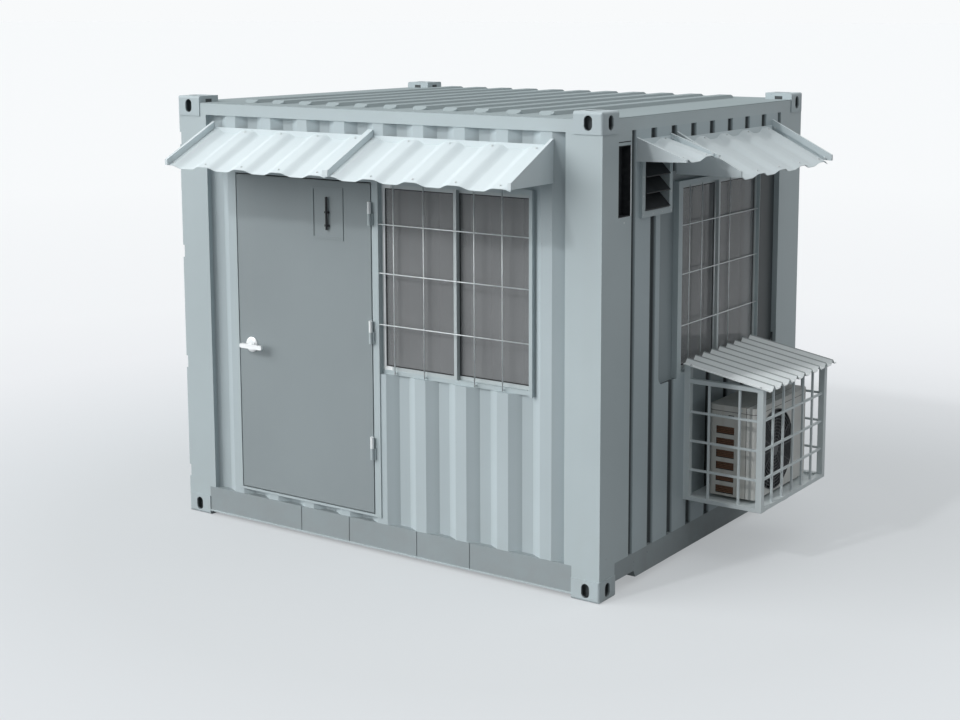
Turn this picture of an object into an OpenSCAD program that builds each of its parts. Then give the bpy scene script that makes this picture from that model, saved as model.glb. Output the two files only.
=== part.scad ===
// Ten-foot office container. A corrugated steel box on corner castings, with a hinged door,
// two sliding windows, sheet-metal awnings, a louvred vent and an air conditioner in a steel cage.
// Lengths are in millimetres. The front wall runs along X and faces -Y, and Z points up.

/* [Container] */
// Length over the corner castings, along the front wall
box_l = 2991; // [2900:1:3200]
// Depth over the corner castings
box_w = 2438; // [2400:1:2600]
// Height over the corner castings
box_h = 2591; // [2560:1:2896]
// Distance from the castings' faces back to the posts and rails
setback = 5; // [3:1:8]
// Thickness of a wall, from the rails' face to the lining
wall_t = 101; // [96:1:130]
// Height of the floor and of the rails around it
base_h = 180; // [176:1:200]
// Distance from the top of the castings down to the heads of the door and the windows
head_drop = 423; // [410:1:440]

/* [Corner castings] */
// Length of a casting along X
casting_l = 178; // [160:1:190]
// Width of a casting along Y
casting_w = 162; // [150:1:170]
// Height of a casting
casting_h = 118; // [110:1:125]
// Radius of the castings' outer edges
casting_r = 15; // [8:1:20]
// Depth of the twistlock and lashing holes
hole_depth = 30; // [20:1:40]
// Width of the lashing holes
lash_w = 50; // [40:1:56]
// Height of the lashing holes
lash_h = 78; // [66:1:84]
// Width of the twistlock holes
lock_w = 63; // [50:1:70]
// Length of the twistlock holes
lock_l = 124; // [100:1:130]

/* [Posts and rails] */
// Width of a corner post on the long walls
post_x = 225; // [200:1:240]
// Width of a corner post on the end walls
post_y = 306; // [240:1:320]
// Height of the hinge notches in the left posts
notch_h = 75; // [50:1:100]
// Depth of the hinge notches
notch_d = 12; // [6:1:20]
// Number of hinge notches in a post
notch_n = 4; // [3:1:5]
// Distance from the ends of the castings to the middle of the first and last notch
notch_end = 259; // [220:1:300]
// Height of the top rails
top_rail_h = 67; // [60:1:72]
// Depth of the top rails, into the box
top_rail_d = 60; // [50:1:70]
// Distance from the top of the castings down to the roof
roof_drop = 39; // [30:1:45]
// Depth of the floor rails, into the box
rail_d = 60; // [50:1:75]
// Height of the long floor rails' underside
rail_low = 24; // [18:1:30]
// Plate thickness of the floor rails and beams
plate = 6; // [4:1:8]
// Left edge of the first fork pocket, from the left end
fork_x = 922; // [880:1:960]
// Width of a fork pocket
fork_w = 367; // [340:1:380]
// Distance between the two fork pockets
fork_pitch = 860; // [800:1:900]
// Height of the short floor rails' underside beside the castings
end_rail_low = 79; // [60:1:100]
// Length of the raised stretch beside the castings
end_rail_run = 205; // [150:1:260]
// Length of the slope down from the raised stretch
end_rail_slope = 20; // [10:1:60]
// Width of the seams around the closed fork pockets
seam_w = 6; // [3:1:10]
// Depth of the seams
seam_d = 4; // [2:0.5:5]

/* [Floor and roof] */
// Thickness of the floor deck
deck_t = 28; // [20:1:35]
// Height of the floor beams' underside
beam_low = 40; // [34:1:60]
// Width of a floor beam's flanges
beam_w = 45; // [35:1:60]
// Number of floor beams
beam_n = 8; // [5:1:9]
// Thickness of the roof sheet
roof_t = 4; // [3:1:6]
// Distance between two roof ribs
rib_pitch = 209.8; // [195:0.1:220]
// Number of roof ribs
rib_n = 11; // [7:2:11]
// Width of a roof rib at its foot
rib_w = 110; // [90:1:130]
// Width of a roof rib at its crest
rib_top_w = 80; // [50:1:85]
// Height of a roof rib
rib_h = 20; // [12:1:24]
// Distance from the end of a rib to the castings' face
rib_margin = 150; // [120:1:200]

/* [Wall corrugation] */
// Pitch of the long walls' corrugation
wave_pitch = 278; // [270:1:290]
// Width of an inner land on the long walls
wave_land = 70; // [60:1:80]
// Width of a slope on the long walls
wave_slope = 68; // [60:1:75]
// Depth of the corrugation on the long walls
wave_d = 36; // [25:1:45]
// Distance from the castings' faces to the outer lands
wave_set = 10; // [8:1:14]
// Middle of the first inner land, from the left end
wave_first = 283; // [270:1:290]
// Pitch of the end walls' grooves
groove_pitch = 225.6; // [210:0.1:240]
// Width of a groove's floor on the end walls
groove_land = 47; // [35:1:60]
// Width of a groove's side on the end walls
groove_slope = 9; // [6:1:20]
// Depth of the grooves on the end walls
groove_d = 21; // [12:1:30]

/* [Door] */
// Left edge of the door frame, from the left end
door_x = 423; // [400:1:440]
// Width of the door frame
door_w = 1107; // [1080:1:1140]
// Top of the wall strip below the door
door_sill_z = 215; // [205:1:230]
// Height of the frame's sill
sill_h = 13; // [10:1:20]
// Width of the frame's latch side
jamb_w = 32; // [26:1:40]
// Width of the frame's hinge side
hinge_jamb_w = 44; // [40:1:50]
// Height of the frame's head
door_head_h = 20; // [16:1:30]
// Width of the stop behind the leaf
stop_w = 12; // [8:1:16]
// Running gap around the door leaf
leaf_gap = 8; // [7:0.5:10]
// Thickness of the door leaf
leaf_t = 45; // [40:1:50]
// Distance from the castings' faces back to the door leaf's face
leaf_set = 4; // [3:1:9]
// Thickness of the beads pressed into the leaf
bead_t = 4; // [2:0.5:6]
// Width of the beads
bead_w = 14; // [10:1:20]
// Left edge of the beaded panel, from the leaf's left edge
panel_x = 585; // [560:1:600]
// Width of the beaded panel
panel_w = 233; // [200:1:260]
// Distance from the leaf's top down to the beaded panel
panel_drop = 38; // [30:1:100]
// Height of the beaded panel
panel_h = 300; // [260:1:330]
// Width of the door bolt's rod
bolt_d = 14; // [10:1:18]
// Length of the door bolt's rod
bolt_l = 190; // [150:1:200]
// Width of the bolt's guides
guide_w = 30; // [22:1:40]
// Height of the bolt's guides
guide_h = 12; // [8:1:20]
// Distance from the rod's lower end to its first guide
guide_low = 19; // [10:1:30]
// Distance between the bolt's two guides
guide_pitch = 76; // [60:1:100]

/* [Hinges and handle] */
// Radius of the hinge knuckles
knuckle_r = 11; // [9:0.5:12]
// Radius of the hinge pins
pin_r = 5; // [4:0.5:6]
// Running clearance around the hinge pins and the handle's spindle
bore_gap = 0.3; // [0.2:0.05:0.4]
// Length of a hinge
hinge_h = 130; // [110:1:150]
// Number of hinges
hinge_n = 3; // [2:1:4]
// Distance from the leaf's lower edge up to the lowest hinge
hinge_low = 320; // [250:1:360]
// Distance from the leaf's upper edge down to the highest hinge
hinge_high = 102; // [80:1:200]
// Width of a hinge leaf
hinge_leaf_w = 14; // [10:1:18]
// Thickness of a hinge leaf
hinge_leaf_t = 4; // [3:0.5:5]
// Distance from the latch edge of the leaf to the spindle
backset = 96; // [80:1:120]
// Height of the spindle above the leaf's lower edge
spindle_z = 884; // [850:1:920]
// Radius of the handle's rose
rose_r = 45; // [35:1:50]
// Thickness of the rose
rose_t = 10; // [8:1:14]
// Width of the rose's bevel
rose_bevel = 8; // [4:1:12]
// Radius of the spindle
spindle_r = 10; // [8:0.5:12]
// Length of the lever from the spindle to its end
lever_l = 126; // [110:1:140]
// Length of the stub on the other side of the spindle
stub_l = 48; // [40:1:56]
// Height of the lever
lever_h = 27; // [22:1:32]
// Thickness of the lever
lever_t = 14; // [10:1:18]
// Distance from the leaf to the lever's outer face
lever_reach = 60; // [50:1:70]

/* [Windows] */
// Height of the windows' lower edge
win_z = 1060; // [1040:1:1100]
// Distance from the right end of the box to the front window
front_win_end = 416; // [410:1:430]
// Distance from the castings' faces back to the front window's sill
front_win_set = 32; // [26:1:36]
// Width of the bar on the front window's right side
front_bar_w = 21; // [16:1:30]
// Width of the slot beside that bar
front_slot_w = 13; // [8:1:16]
// Near edge of the end window, from the front
end_win_y = 832; // [825:1:840]
// Width of the end window
end_win_w = 1031; // [1000:1:1040]
// Width of the end window's near member
end_member_w = 47; // [40:1:60]
// Width of a window frame's narrow members
win_edge = 4; // [3:1:8]
// Height of a window's sill
win_sill_h = 24; // [20:1:34]
// Height of a window's head
win_head_h = 30; // [24:1:40]
// Width of a sash's stiles and rails
sash_w = 20; // [18:1:30]
// Thickness of a sash
sash_t = 22; // [18:1:24]
// Gap between the two sashes' tracks
track_gap = 2; // [1:0.5:4]
// Distance from the front window's sill back to the outer sash
front_sash_set = 4; // [2:1:8]
// Distance from the end window's face back to the outer sash
end_sash_set = 21; // [16:1:24]
// Thickness of the glass
glass_t = 6; // [4:0.5:10]
// Start of the pressed-in field beside the end window, from the front
field_y = 619; // [610:1:640]
// Depth of the pressed-in field
field_d = 34; // [26:1:50]
// Radius of the field's lower corners
field_r = 50; // [30:1:80]
// Height of the field above the windows' heads
field_rise = 60; // [40:1:100]

/* [Awnings] */
// Distance that the large awnings stand out
large_reach = 385; // [360:1:400]
// Distance from the top of the castings down to the large awnings
large_drop = 147; // [140:1:170]
// Fall of the large awnings' brackets, from the wall to the nose
large_fall = 197; // [170:1:230]
// Height of the large awnings' nose
large_nose = 34; // [20:1:40]
// Height of the large awnings' brackets on the wall
large_foot = 231; // [210:1:260]
// Distance from the large awnings' top down to their sheet
large_sheet_drop = 44; // [40:1:50]
// Fall of the large awnings' sheet
large_sheet_fall = 189; // [170:1:200]
// Distance that the small awning stands out
small_reach = 290; // [270:1:300]
// Distance from the top of the castings down to the small awning
small_drop = 151; // [140:1:170]
// Fall of the small awning's brackets
small_fall = 104; // [90:1:110]
// Height of the small awning's nose
small_nose = 13; // [10:1:20]
// Height of the small awning's brackets on the wall
small_foot = 126; // [115:1:130]
// Distance from the small awning's top down to its sheet
small_sheet_drop = 22; // [20:1:30]
// Fall of the small awning's sheet
small_sheet_fall = 84; // [70:1:100]
// Thickness of the awnings' and the cage roof's sheets
sheet_t = 3; // [2:0.5:4]
// Depth of the sheets' waves
sheet_wave_d = 22; // [16:1:26]
// Pitch of the sheets' waves
sheet_pitch = 278; // [265:1:290]
// Width of the sheets' valleys
sheet_valley = 72; // [60:1:80]
// Width of the sheets' rounded slopes
sheet_slope = 75; // [60:1:80]
// Number of flats that round a slope
sheet_steps = 6; // [3:1:8]
// Distance from a sheet's edge to the middle of its first valley
sheet_first = 128; // [110:1:140]
// Distance that the brackets stand out past the sheets
sheet_short = 15; // [8:1:25]
// Height of the sheets' flange on the wall, above their valleys
flange_h = 33; // [30:1:40]
// Left edge of the front awning, from the left end
front_awning_x = 275; // [260:1:300]
// Distance from the right end of the box to the front awning
front_awning_end = 301; // [280:1:320]
// Near edge of the large end awning, from the front
end_awning_y = 795; // [780:1:800]
// Length of the large end awning
end_awning_w = 1234; // [1200:1:1260]
// Near edge of the small end awning, from the front
vent_awning_y = 352; // [340:1:360]
// Length of the small end awning
vent_awning_w = 388; // [370:1:400]
// Width of the bars along an awning's sides
rim_w = 18; // [12:1:22]
// Height of the bars along an awning's sides
rim_h = 34; // [28:1:40]
// Length of the bars' nose
nose_w = 18; // [10:1:30]
// Thickness of the brackets' plates
bracket_t = 4; // [3:0.5:6]

/* [Vent and recess] */
// Near edge of the vent's opening, from the front
vent_y = 427; // [420:1:440]
// Width of the vent's opening
vent_w = 266; // [240:1:280]
// Distance from the top of the castings down to the vent's opening
vent_drop = 281; // [275:1:300]
// Height of the vent's opening
vent_h = 265; // [240:1:275]
// Width of the plate around the opening
vent_rim = 34; // [26:1:40]
// Distance that the plate stands out from the castings' faces
vent_proud = 10; // [6:1:16]
// Thickness of the plate's duct
duct_t = 4; // [3:0.5:6]
// Length of the duct into the wall
duct_l = 80; // [60:1:90]
// Number of vent blades
blade_n = 3; // [2:1:4]
// Thickness of a vent blade
blade_t = 4; // [3:0.5:6]
// Distance that the blades stand out past the plate
blade_out = 6; // [2:1:12]
// Depth of the blades, behind the castings' faces
blade_deep = 60; // [40:1:75]
// Clearance above and below the blades
blade_gap = 4; // [2:1:8]
// Near edge of the cable recess, from the front
recess_y = 169; // [165:1:175]
// Width of the cable recess
recess_w = 124; // [110:1:126]
// Distance from the top of the castings down to the cable recess
recess_drop = 184; // [170:1:220]
// Height of the cable recess
recess_h = 374; // [340:1:380]
// Depth of the cable recess
recess_d = 55; // [40:1:70]

/* [Air conditioner] */
// Near edge of the cage, from the front
cage_y = 925; // [910:1:940]
// Length of the cage along the end wall
cage_w = 875; // [850:1:900]
// Distance that the cage stands out from the castings' faces
cage_reach = 484; // [460:1:500]
// Height of the cage's shelf
shelf_z = 350; // [340:1:370]
// Height of the cage above its shelf
cage_h = 695; // [670:1:720]
// Width of the cage's posts
cage_post = 36; // [30:1:40]
// Height of the cage's lower frame bars
cage_sill = 12; // [8:1:20]
// Thickness of the cage's bars
cage_bar = 12; // [8:1:14]
// Height of the cage's upper frame bars
cage_rail_h = 24; // [16:1:36]
// Height of the lowest long bar above the shelf
bar_low = 168; // [120:1:180]
// Distance between two long bars
bar_pitch = 168; // [150:1:180]
// Number of long bars, one above the other
bar_n = 3; // [2:1:3]
// Distance from the ends of a short side to its two upright bars
side_bar_in = 150; // [120:1:180]
// Number of upright bars in the long side
outer_bar_n = 5; // [3:1:7]
// Thickness of the shelf's sheet
shelf_t = 9; // [6:1:12]
// Width of the arms below the shelf
arm_w = 60; // [50:1:70]
// Height of the arms below the shelf
arm_h = 50; // [40:1:60]
// Near edge of the first arm, from the cage's near side
arm_y = 140; // [100:1:180]
// Distance between the two arms
arm_pitch = 298; // [250:1:400]
// Distance from the cage's outer side back to the arms' ends
arm_inset = 40; // [20:1:60]
// Distance that the cage's roof stands out from the castings' faces
cage_roof_reach = 533; // [520:1:550]
// Pitch of the ribs in the cage's roof
cage_rib_pitch = 101; // [98:0.5:102]
// Number of ribs in the cage's roof
cage_rib_n = 9; // [7:1:9]
// Height of a rib in the cage's roof
cage_rib_h = 26; // [18:1:30]
// Fall of the cage's roof, away from the wall
cage_fall = 85; // [60:1:100]
// Length of the housing along the wall
unit_w = 690; // [660:1:710]
// Depth of the housing
unit_d = 290; // [270:1:310]
// Height of the housing
unit_h = 525; // [490:1:560]
// Distance from the castings' faces to the housing
unit_set = 104; // [90:1:120]
// Distance from the cage's near side to the housing
unit_side = 105; // [90:1:120]
// Height of the housing's feet
unit_foot = 20; // [15:1:30]
// Radius of the housing's upright edges
unit_r = 24; // [15:1:30]
// Width of the housing's feet
foot_w = 50; // [40:1:70]
// Distance from the housing's ends to its feet
foot_in = 60; // [40:1:90]
// Distance from the housing's long faces to its feet
foot_edge = 20; // [10:1:30]
// Radius of the fan opening
fan_r = 232; // [200:1:235]
// Depth of the fan opening
fan_d = 40; // [30:1:60]
// Distance from the housing's near end to the fan opening
fan_margin = 18; // [6:1:30]
// Distance from the housing's lower edge to the fan opening
fan_low = 15; // [10:1:40]
// Radius of the grille's hub
hub_r = 40; // [30:1:60]
// Width of the grille's wires
wire_w = 4; // [3:0.5:6]
// Thickness of the grille
wire_t = 6; // [4:0.5:8]
// Number of rings in the fan grille
ring_n = 10; // [6:1:12]
// Number of spokes in the fan grille
spoke_n = 12; // [8:2:16]
// Number of slots in the housing's side
slot_n = 6; // [4:1:6]
// Height of a slot
slot_h = 44; // [36:1:50]
// Length of a slot
slot_l = 112; // [90:1:130]
// Depth of a slot
slot_d = 20; // [10:1:30]
// Distance between two slots
slot_pitch = 69; // [62:1:75]
// Distance from the housing's back to the slots
slot_back = 44; // [34:1:60]
// Distance from the housing's lower edge to the first slot
slot_low = 14; // [10:1:20]
// Number of small holes above the slots
hole_n = 6; // [4:1:8]
// Side of a small hole
hole_w = 8; // [6:1:10]
// Distance between two small holes
hole_pitch = 13.5; // [12:0.5:16]
// Distance from the housing's back to the small holes
hole_back = 24; // [24:1:30]
// Distance from the housing's top down to the small holes' lower edge
hole_drop = 65; // [56:1:70]
// Distance from the housing's back to the two short slits
dash_back = 118; // [112:1:125]
// Length of a slit
dash_l = 36; // [20:1:50]
// Height of a slit
dash_h = 6; // [4:1:8]
// Distance between the two slits
dash_pitch = 12; // [10:1:15]

/* [Inside] */
// Width of the light switch's plate
switch_w = 86; // [80:1:120]
// Height of the light switch's plate
switch_h = 120; // [80:1:150]
// Thickness of the light switch's plate
switch_t = 9; // [6:1:12]
// Radius of the plate's corners
switch_r = 12; // [4:1:20]
// Middle of the plate, from the left end
switch_x = 426; // [400:1:460]
// Height of the plate's lower edge
switch_z = 1430; // [1300:1:1500]

/* [Hidden] */
$fn = 32;

// Heights and planes that several pieces share
lining = setback + wall_t;
post_top = box_h - casting_h;
roof_z = box_h - roof_drop;
rail_top_z = roof_z - roof_t;
wall_top = rail_top_z - top_rail_h;
head_z = box_h - head_drop;
vent_z = box_h - vent_drop - vent_h;
recess_z = box_h - recess_drop - recess_h;
eps = 1;

// Corrugation forms: first inner land's middle, pitch, inner land, slope, depth, outer plane
long_form = [wave_first, wave_pitch, wave_land, wave_slope, wave_d, wave_set];
end_form = [box_w / 2, groove_pitch, groove_land, groove_slope, groove_d, setback];

// Door: leaf and hinge axis
win_x = door_x + door_w;
front_win_w = box_l - front_win_end - win_x;
leaf_x = door_x + jamb_w + leaf_gap;
leaf_r = win_x - hinge_jamb_w - leaf_gap;
leaf_z = door_sill_z + sill_h + leaf_gap;
leaf_top = head_z - door_head_h - leaf_gap;
hinge_x = leaf_r + leaf_gap / 2;
hinge_y = leaf_set - hinge_leaf_t - knuckle_r;
hinge_pitch = (leaf_top - leaf_z - hinge_low - hinge_high - hinge_h) / (hinge_n - 1);
hinge_zs = [for (i = [0 : hinge_n - 1]) leaf_z + hinge_low + i * hinge_pitch];
panel_z = leaf_top - panel_drop - panel_h;
spindle_x = leaf_x + backset;

// Awning shapes: reach, height on the wall, height and depth of the nose, lower edge on the wall,
// sheet's height on the wall, sheet's fall
large_top = box_h - large_drop;
small_top = box_h - small_drop;
large_awning = [
    large_reach, large_top, large_top - large_fall, large_nose, large_top - large_foot,
    large_top - large_sheet_drop, large_sheet_fall
];
small_awning = [
    small_reach, small_top, small_top - small_fall, small_nose, small_top - small_foot,
    small_top - small_sheet_drop, small_sheet_fall
];
front_awning_w = box_l - front_awning_end - front_awning_x;
front_awning_mid = front_awning_x + front_awning_w / 2;

// Cage: its top, and the slope and wall height of the roof that rests on it
cage_top = shelf_z + cage_h;
cage_slope = cage_fall / (cage_reach + setback);
wall_post_h = cage_h + cage_fall - cage_post * cage_slope;
fan_z = unit_foot + fan_low + fan_r;
hole_z = unit_foot + unit_h - hole_drop;

// How far up a slope x lies, from 0 on an inner land to 1 on an outer one
function wave_place(x, form) =
    let (u = abs(x - form[0] - form[1] * round((x - form[0]) / form[1])) - form[2] / 2)
    min(1, max(0, u / form[3]));

function wave_depth(x, form) = form[4] * (1 - wave_place(x, form));

function round_depth(x, form) = form[4] * (1 + cos(180 * wave_place(x, form))) / 2;

// The bends between x0 and x1, with each slope in so many steps
function wave_breaks(x0, x1, form, steps = 1) = [
    for (k = [floor((x0 - form[0]) / form[1]) : ceil((x1 - form[0]) / form[1])])
        for (side = [-1, 1])
            for (j = [0 : steps])
                let (i = side < 0 ? steps - j : j)
                    let (x = form[0] + k * form[1] + side * (form[2] / 2 + form[3] * i / steps))
                        if (x > x0 + eps && x < x1 - eps) x
];

// Frames of the four walls: X runs along the wall, -Y points outward from the castings' faces
module on_right() {
    translate([box_l, 0, 0]) rotate([0, 0, 90]) children();
}

module on_left() {
    translate([0, box_w, 0]) rotate([0, 0, -90]) children();
}

module on_back() {
    translate([box_l, box_w, 0]) rotate([0, 0, 180]) children();
}

// Puts a copy of its children at each corner of the floor plan, mirrored to match
module each_corner() {
    for (side = [0, 1])
        for (end = [0, 1])
            translate([end * box_l, side * box_w, 0])
                mirror([end, 0, 0])
                    mirror([0, side, 0])
                        children();
}

// A piece of wall from x0 to x1: corrugated sheet outside, insulation, flat lining inside
module wall_panel(x0, x1, z0, z1, form) {
    outline = [for (x = concat([x0], wave_breaks(x0, x1, form), [x1])) [x, form[5] + wave_depth(x, form)]];
    translate([0, 0, z0])
        linear_extrude(z1 - z0)
            polygon(concat([[x0, lining]], outline, [[x1, lining]]));
}

// Outline with one rounded corner at the origin
module corner_outline(a, b, r) {
    translate([r, r]) circle(r);
    translate([r, 0]) square([a - r, b]);
    translate([0, r]) square([a, b - r]);
}

// Rounded rectangle with its corner at the origin
module round_outline(a, b, r) {
    for (x = [r, a - r])
        for (y = [r, b - r])
            translate([x, y]) circle(r);
    translate([r, 0]) square([a - 2 * r, b]);
    translate([0, r]) square([a, b - 2 * r]);
}

// Oblong hole with round ends, centred, with its length along Y
module oblong(w, l, depth) {
    linear_extrude(depth) {
        for (y = [-1, 1])
            translate([0, y * (l - w) / 2]) circle(w / 2);
        square([w, l - w], center = true);
    }
}

// Bottom casting with its outer corner at the origin
module casting() {
    difference() {
        intersection() {
            linear_extrude(casting_h) corner_outline(casting_l, casting_w, casting_r);
            translate([0, casting_w, 0]) rotate([90, 0, 0])
                linear_extrude(casting_w) corner_outline(casting_l, casting_h, casting_r);
            rotate([90, 0, 90])
                linear_extrude(casting_l) corner_outline(casting_w, casting_h, casting_r);
        }
        translate([casting_l / 2, casting_w / 2, -eps]) rotate([0, 0, 90])
            oblong(lock_w, lock_l, hole_depth + eps);
        translate([casting_l / 2, hole_depth, casting_h / 2]) rotate([90, 0, 0])
            oblong(lash_w, lash_h, hole_depth + eps);
        translate([-eps, casting_w / 2, casting_h / 2]) rotate([90, 0, 90])
            oblong(lash_w, lash_h, hole_depth + eps);
    }
}

module corner_castings() {
    color("lightslategray") {
        each_corner() casting();
        each_corner() translate([0, 0, box_h]) mirror([0, 0, 1]) casting();
    }
}

// L-shaped post, cut to fit round the castings and onto the floor rails
module post() {
    difference() {
        translate([0, 0, casting_h])
            linear_extrude(wall_top - casting_h)
                polygon([
                    [setback, setback], [post_x, setback], [post_x, lining],
                    [lining, lining], [lining, post_y], [setback, post_y]
                ]);
        translate([casting_l, 0, 0]) cube([post_x, lining + eps, base_h]);
        translate([0, casting_w, 0]) cube([lining + eps, post_y, base_h]);
        translate([0, 0, post_top]) cube([casting_l, casting_w, casting_h]);
    }
}

module corner_posts() {
    color("slategray")
        difference() {
            each_corner() post();
            for (y = [0, box_w])
                for (i = [0 : notch_n - 1])
                    translate([setback, y, notch_end + i * (box_h - 2 * notch_end) / (notch_n - 1)])
                        cube([2 * notch_d, 2 * (setback + notch_d), notch_h], center = true);
            on_right()
                translate([recess_y, 0, recess_z])
                    cube([recess_w, setback + recess_d, recess_h]);
        }
}

// Channel of the long floor rails, open to the inside
module side_rail() {
    tip = setback + rail_d;
    difference() {
        translate([casting_l, 0, 0]) rotate([90, 0, 90])
            linear_extrude(box_l - 2 * casting_l)
                polygon([
                    [setback, rail_low], [tip, rail_low], [tip, rail_low + plate],
                    [setback + plate, rail_low + plate], [setback + plate, base_h - plate],
                    [tip, base_h - plate], [tip, base_h], [setback, base_h]
                ]);
        for (x = [fork_x, fork_x + fork_pitch])
            for (edge = [0, fork_w])
                translate([x + edge - seam_w / 2, setback - eps, rail_low - eps])
                    cube([seam_w, seam_d + eps, base_h - rail_low + 2 * eps]);
    }
}

module bottom_side_rails() {
    color("lightslategray") {
        side_rail();
        on_back() side_rail();
    }
}

// Box of the short floor rails, higher beside the castings
module end_rail() {
    ramp = casting_w + end_rail_run;
    foot = ramp + end_rail_slope;
    translate([0, setback + rail_d, 0]) rotate([90, 0, 0])
        linear_extrude(rail_d)
            polygon([
                [casting_w, end_rail_low], [ramp, end_rail_low], [foot, beam_low],
                [box_w - foot, beam_low], [box_w - ramp, end_rail_low],
                [box_w - casting_w, end_rail_low], [box_w - casting_w, base_h], [casting_w, base_h]
            ]);
}

module bottom_end_rails() {
    color("slategray") {
        on_right() end_rail();
        on_left() end_rail();
    }
}

module top_rails() {
    color("slategray") {
        for (y = [setback, box_w - setback - top_rail_d])
            translate([casting_l, y, wall_top])
                cube([box_l - 2 * casting_l, top_rail_d, top_rail_h]);
        for (x = [setback, box_l - setback - top_rail_d])
            translate([x, casting_w, wall_top])
                cube([top_rail_d, box_w - 2 * casting_w, top_rail_h]);
    }
}

// Channel beams from rail to rail, below the deck
module floor_beams() {
    rail_web = setback + plate;
    first = setback + rail_d;
    gap = (box_l - 2 * first) / (beam_n + 1);
    top = base_h - deck_t;
    color("dimgray")
        for (i = [1 : beam_n])
            translate([first + i * gap, box_w - rail_web, 0]) rotate([90, 0, 0])
                linear_extrude(box_w - 2 * rail_web)
                    polygon([
                        [0, beam_low], [beam_w, beam_low], [beam_w, beam_low + plate],
                        [plate, beam_low + plate], [plate, top - plate],
                        [beam_w, top - plate], [beam_w, top], [0, top]
                    ]);
}

module floor_deck() {
    edge = setback + rail_d;
    color("gray")
        difference() {
            translate([edge, edge, base_h - deck_t])
                cube([box_l - 2 * edge, box_w - 2 * edge, deck_t]);
            each_corner() post();
        }
}

// Rib across the roof, with sloping rounded ends
module roof_rib() {
    run = box_w - 2 * rib_margin;
    side = (rib_w - rib_top_w) / 2;
    intersection() {
        translate([0, run, 0]) rotate([90, 0, 0])
            linear_extrude(run)
                polygon([[0, 0], [rib_w, 0], [rib_w - side, rib_h], [side, rib_h]]);
        rotate([90, 0, 90])
            linear_extrude(rib_w)
                polygon([[0, 0], [run, 0], [run - 2 * side, rib_h], [2 * side, rib_h]]);
        linear_extrude(rib_h) round_outline(rib_w, run, rib_w / 2.5);
    }
}

module roof_panel() {
    color("silver") {
        difference() {
            translate([setback, setback, rail_top_z])
                cube([box_l - 2 * setback, box_w - 2 * setback, roof_t]);
            each_corner()
                translate([0, 0, post_top]) cube([casting_l, casting_w, casting_h]);
        }
        for (i = [0 : rib_n - 1])
            translate([box_l / 2 + (i - (rib_n - 1) / 2) * rib_pitch - rib_w / 2, rib_margin, roof_z])
                roof_rib();
    }
}

module ceiling() {
    edge = setback + top_rail_d;
    color("gainsboro")
        difference() {
            translate([edge, edge, wall_top])
                cube([box_l - 2 * edge, box_w - 2 * edge, top_rail_h]);
            each_corner()
                translate([0, 0, post_top]) cube([casting_l, casting_w, casting_h]);
        }
}

module front_wall_left() {
    color("lightslategray") wall_panel(post_x, door_x, base_h, wall_top, long_form);
}

module front_wall_head() {
    color("lightslategray") wall_panel(door_x, win_x + front_win_w, head_z, wall_top, long_form);
}

module front_wall_apron() {
    color("lightslategray") wall_panel(win_x, win_x + front_win_w, base_h, win_z, long_form);
}

module front_wall_sill() {
    color("lightslategray") wall_panel(door_x, win_x, base_h, door_sill_z, long_form);
}

module front_wall_right() {
    color("lightslategray") wall_panel(win_x + front_win_w, box_l - post_x, base_h, wall_top, long_form);
}

// Field pressed in round the end window
module window_field() {
    depth = setback + field_d;
    translate([field_y, depth, win_z]) rotate([90, 0, 0])
        linear_extrude(depth + eps)
            round_outline(box_w - post_y - field_y, head_z + field_rise - win_z, field_r);
}

module right_wall_near() {
    color("slategray")
        on_right()
            difference() {
                wall_panel(post_y, end_win_y, base_h, wall_top, end_form);
                translate([vent_y - duct_t, 0, vent_z - duct_t])
                    cube([vent_w + 2 * duct_t, lining + eps, vent_h + 2 * duct_t]);
                window_field();
            }
}

module right_wall_head() {
    color("slategray")
        on_right()
            difference() {
                wall_panel(end_win_y, end_win_y + end_win_w, head_z, wall_top, end_form);
                window_field();
            }
}

module right_wall_apron() {
    color("slategray")
        on_right() wall_panel(end_win_y, end_win_y + end_win_w, base_h, win_z, end_form);
}

module right_wall_far() {
    color("slategray")
        on_right()
            difference() {
                wall_panel(end_win_y + end_win_w, box_w - post_y, base_h, wall_top, end_form);
                window_field();
            }
}

module left_wall() {
    color("slategray") on_left() wall_panel(post_y, box_w - post_y, base_h, wall_top, end_form);
}

module back_wall() {
    color("lightslategray") on_back() wall_panel(post_x, box_l - post_x, base_h, wall_top, long_form);
}

// Steel frame with a stop behind the leaf, and the plates and pins of the hinges
module door_frame() {
    stop_y = leaf_set + leaf_t + leaf_gap;
    inner_x = leaf_x - leaf_gap;
    inner_w = leaf_r - leaf_x + 2 * leaf_gap;
    inner_z = leaf_z - leaf_gap;
    inner_h = leaf_top - leaf_z + 2 * leaf_gap;
    color("slategray") {
        difference() {
            translate([door_x, leaf_set, door_sill_z])
                cube([door_w, lining - leaf_set, head_z - door_sill_z]);
            translate([inner_x, 0, inner_z])
                cube([inner_w, stop_y, inner_h]);
            translate([inner_x + stop_w, 0, inner_z])
                cube([inner_w - 2 * stop_w, lining + eps, inner_h - stop_w]);
        }
        for (z = hinge_zs)
            translate([hinge_x, hinge_y, z]) hinge_pin();
    }
}

// Lower knuckle with the pin standing in it, on a plate that lies on the frame
module hinge_pin() {
    half = hinge_h / 2;
    cylinder(h = half, r = knuckle_r);
    cylinder(h = hinge_h, r = pin_r);
    translate([0, pin_r, 0]) cube([leaf_gap / 2 + hinge_leaf_w, knuckle_r - pin_r, half]);
    translate([leaf_gap / 2, pin_r, 0])
        cube([hinge_leaf_w, knuckle_r - pin_r + hinge_leaf_t, half]);
}

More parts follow.
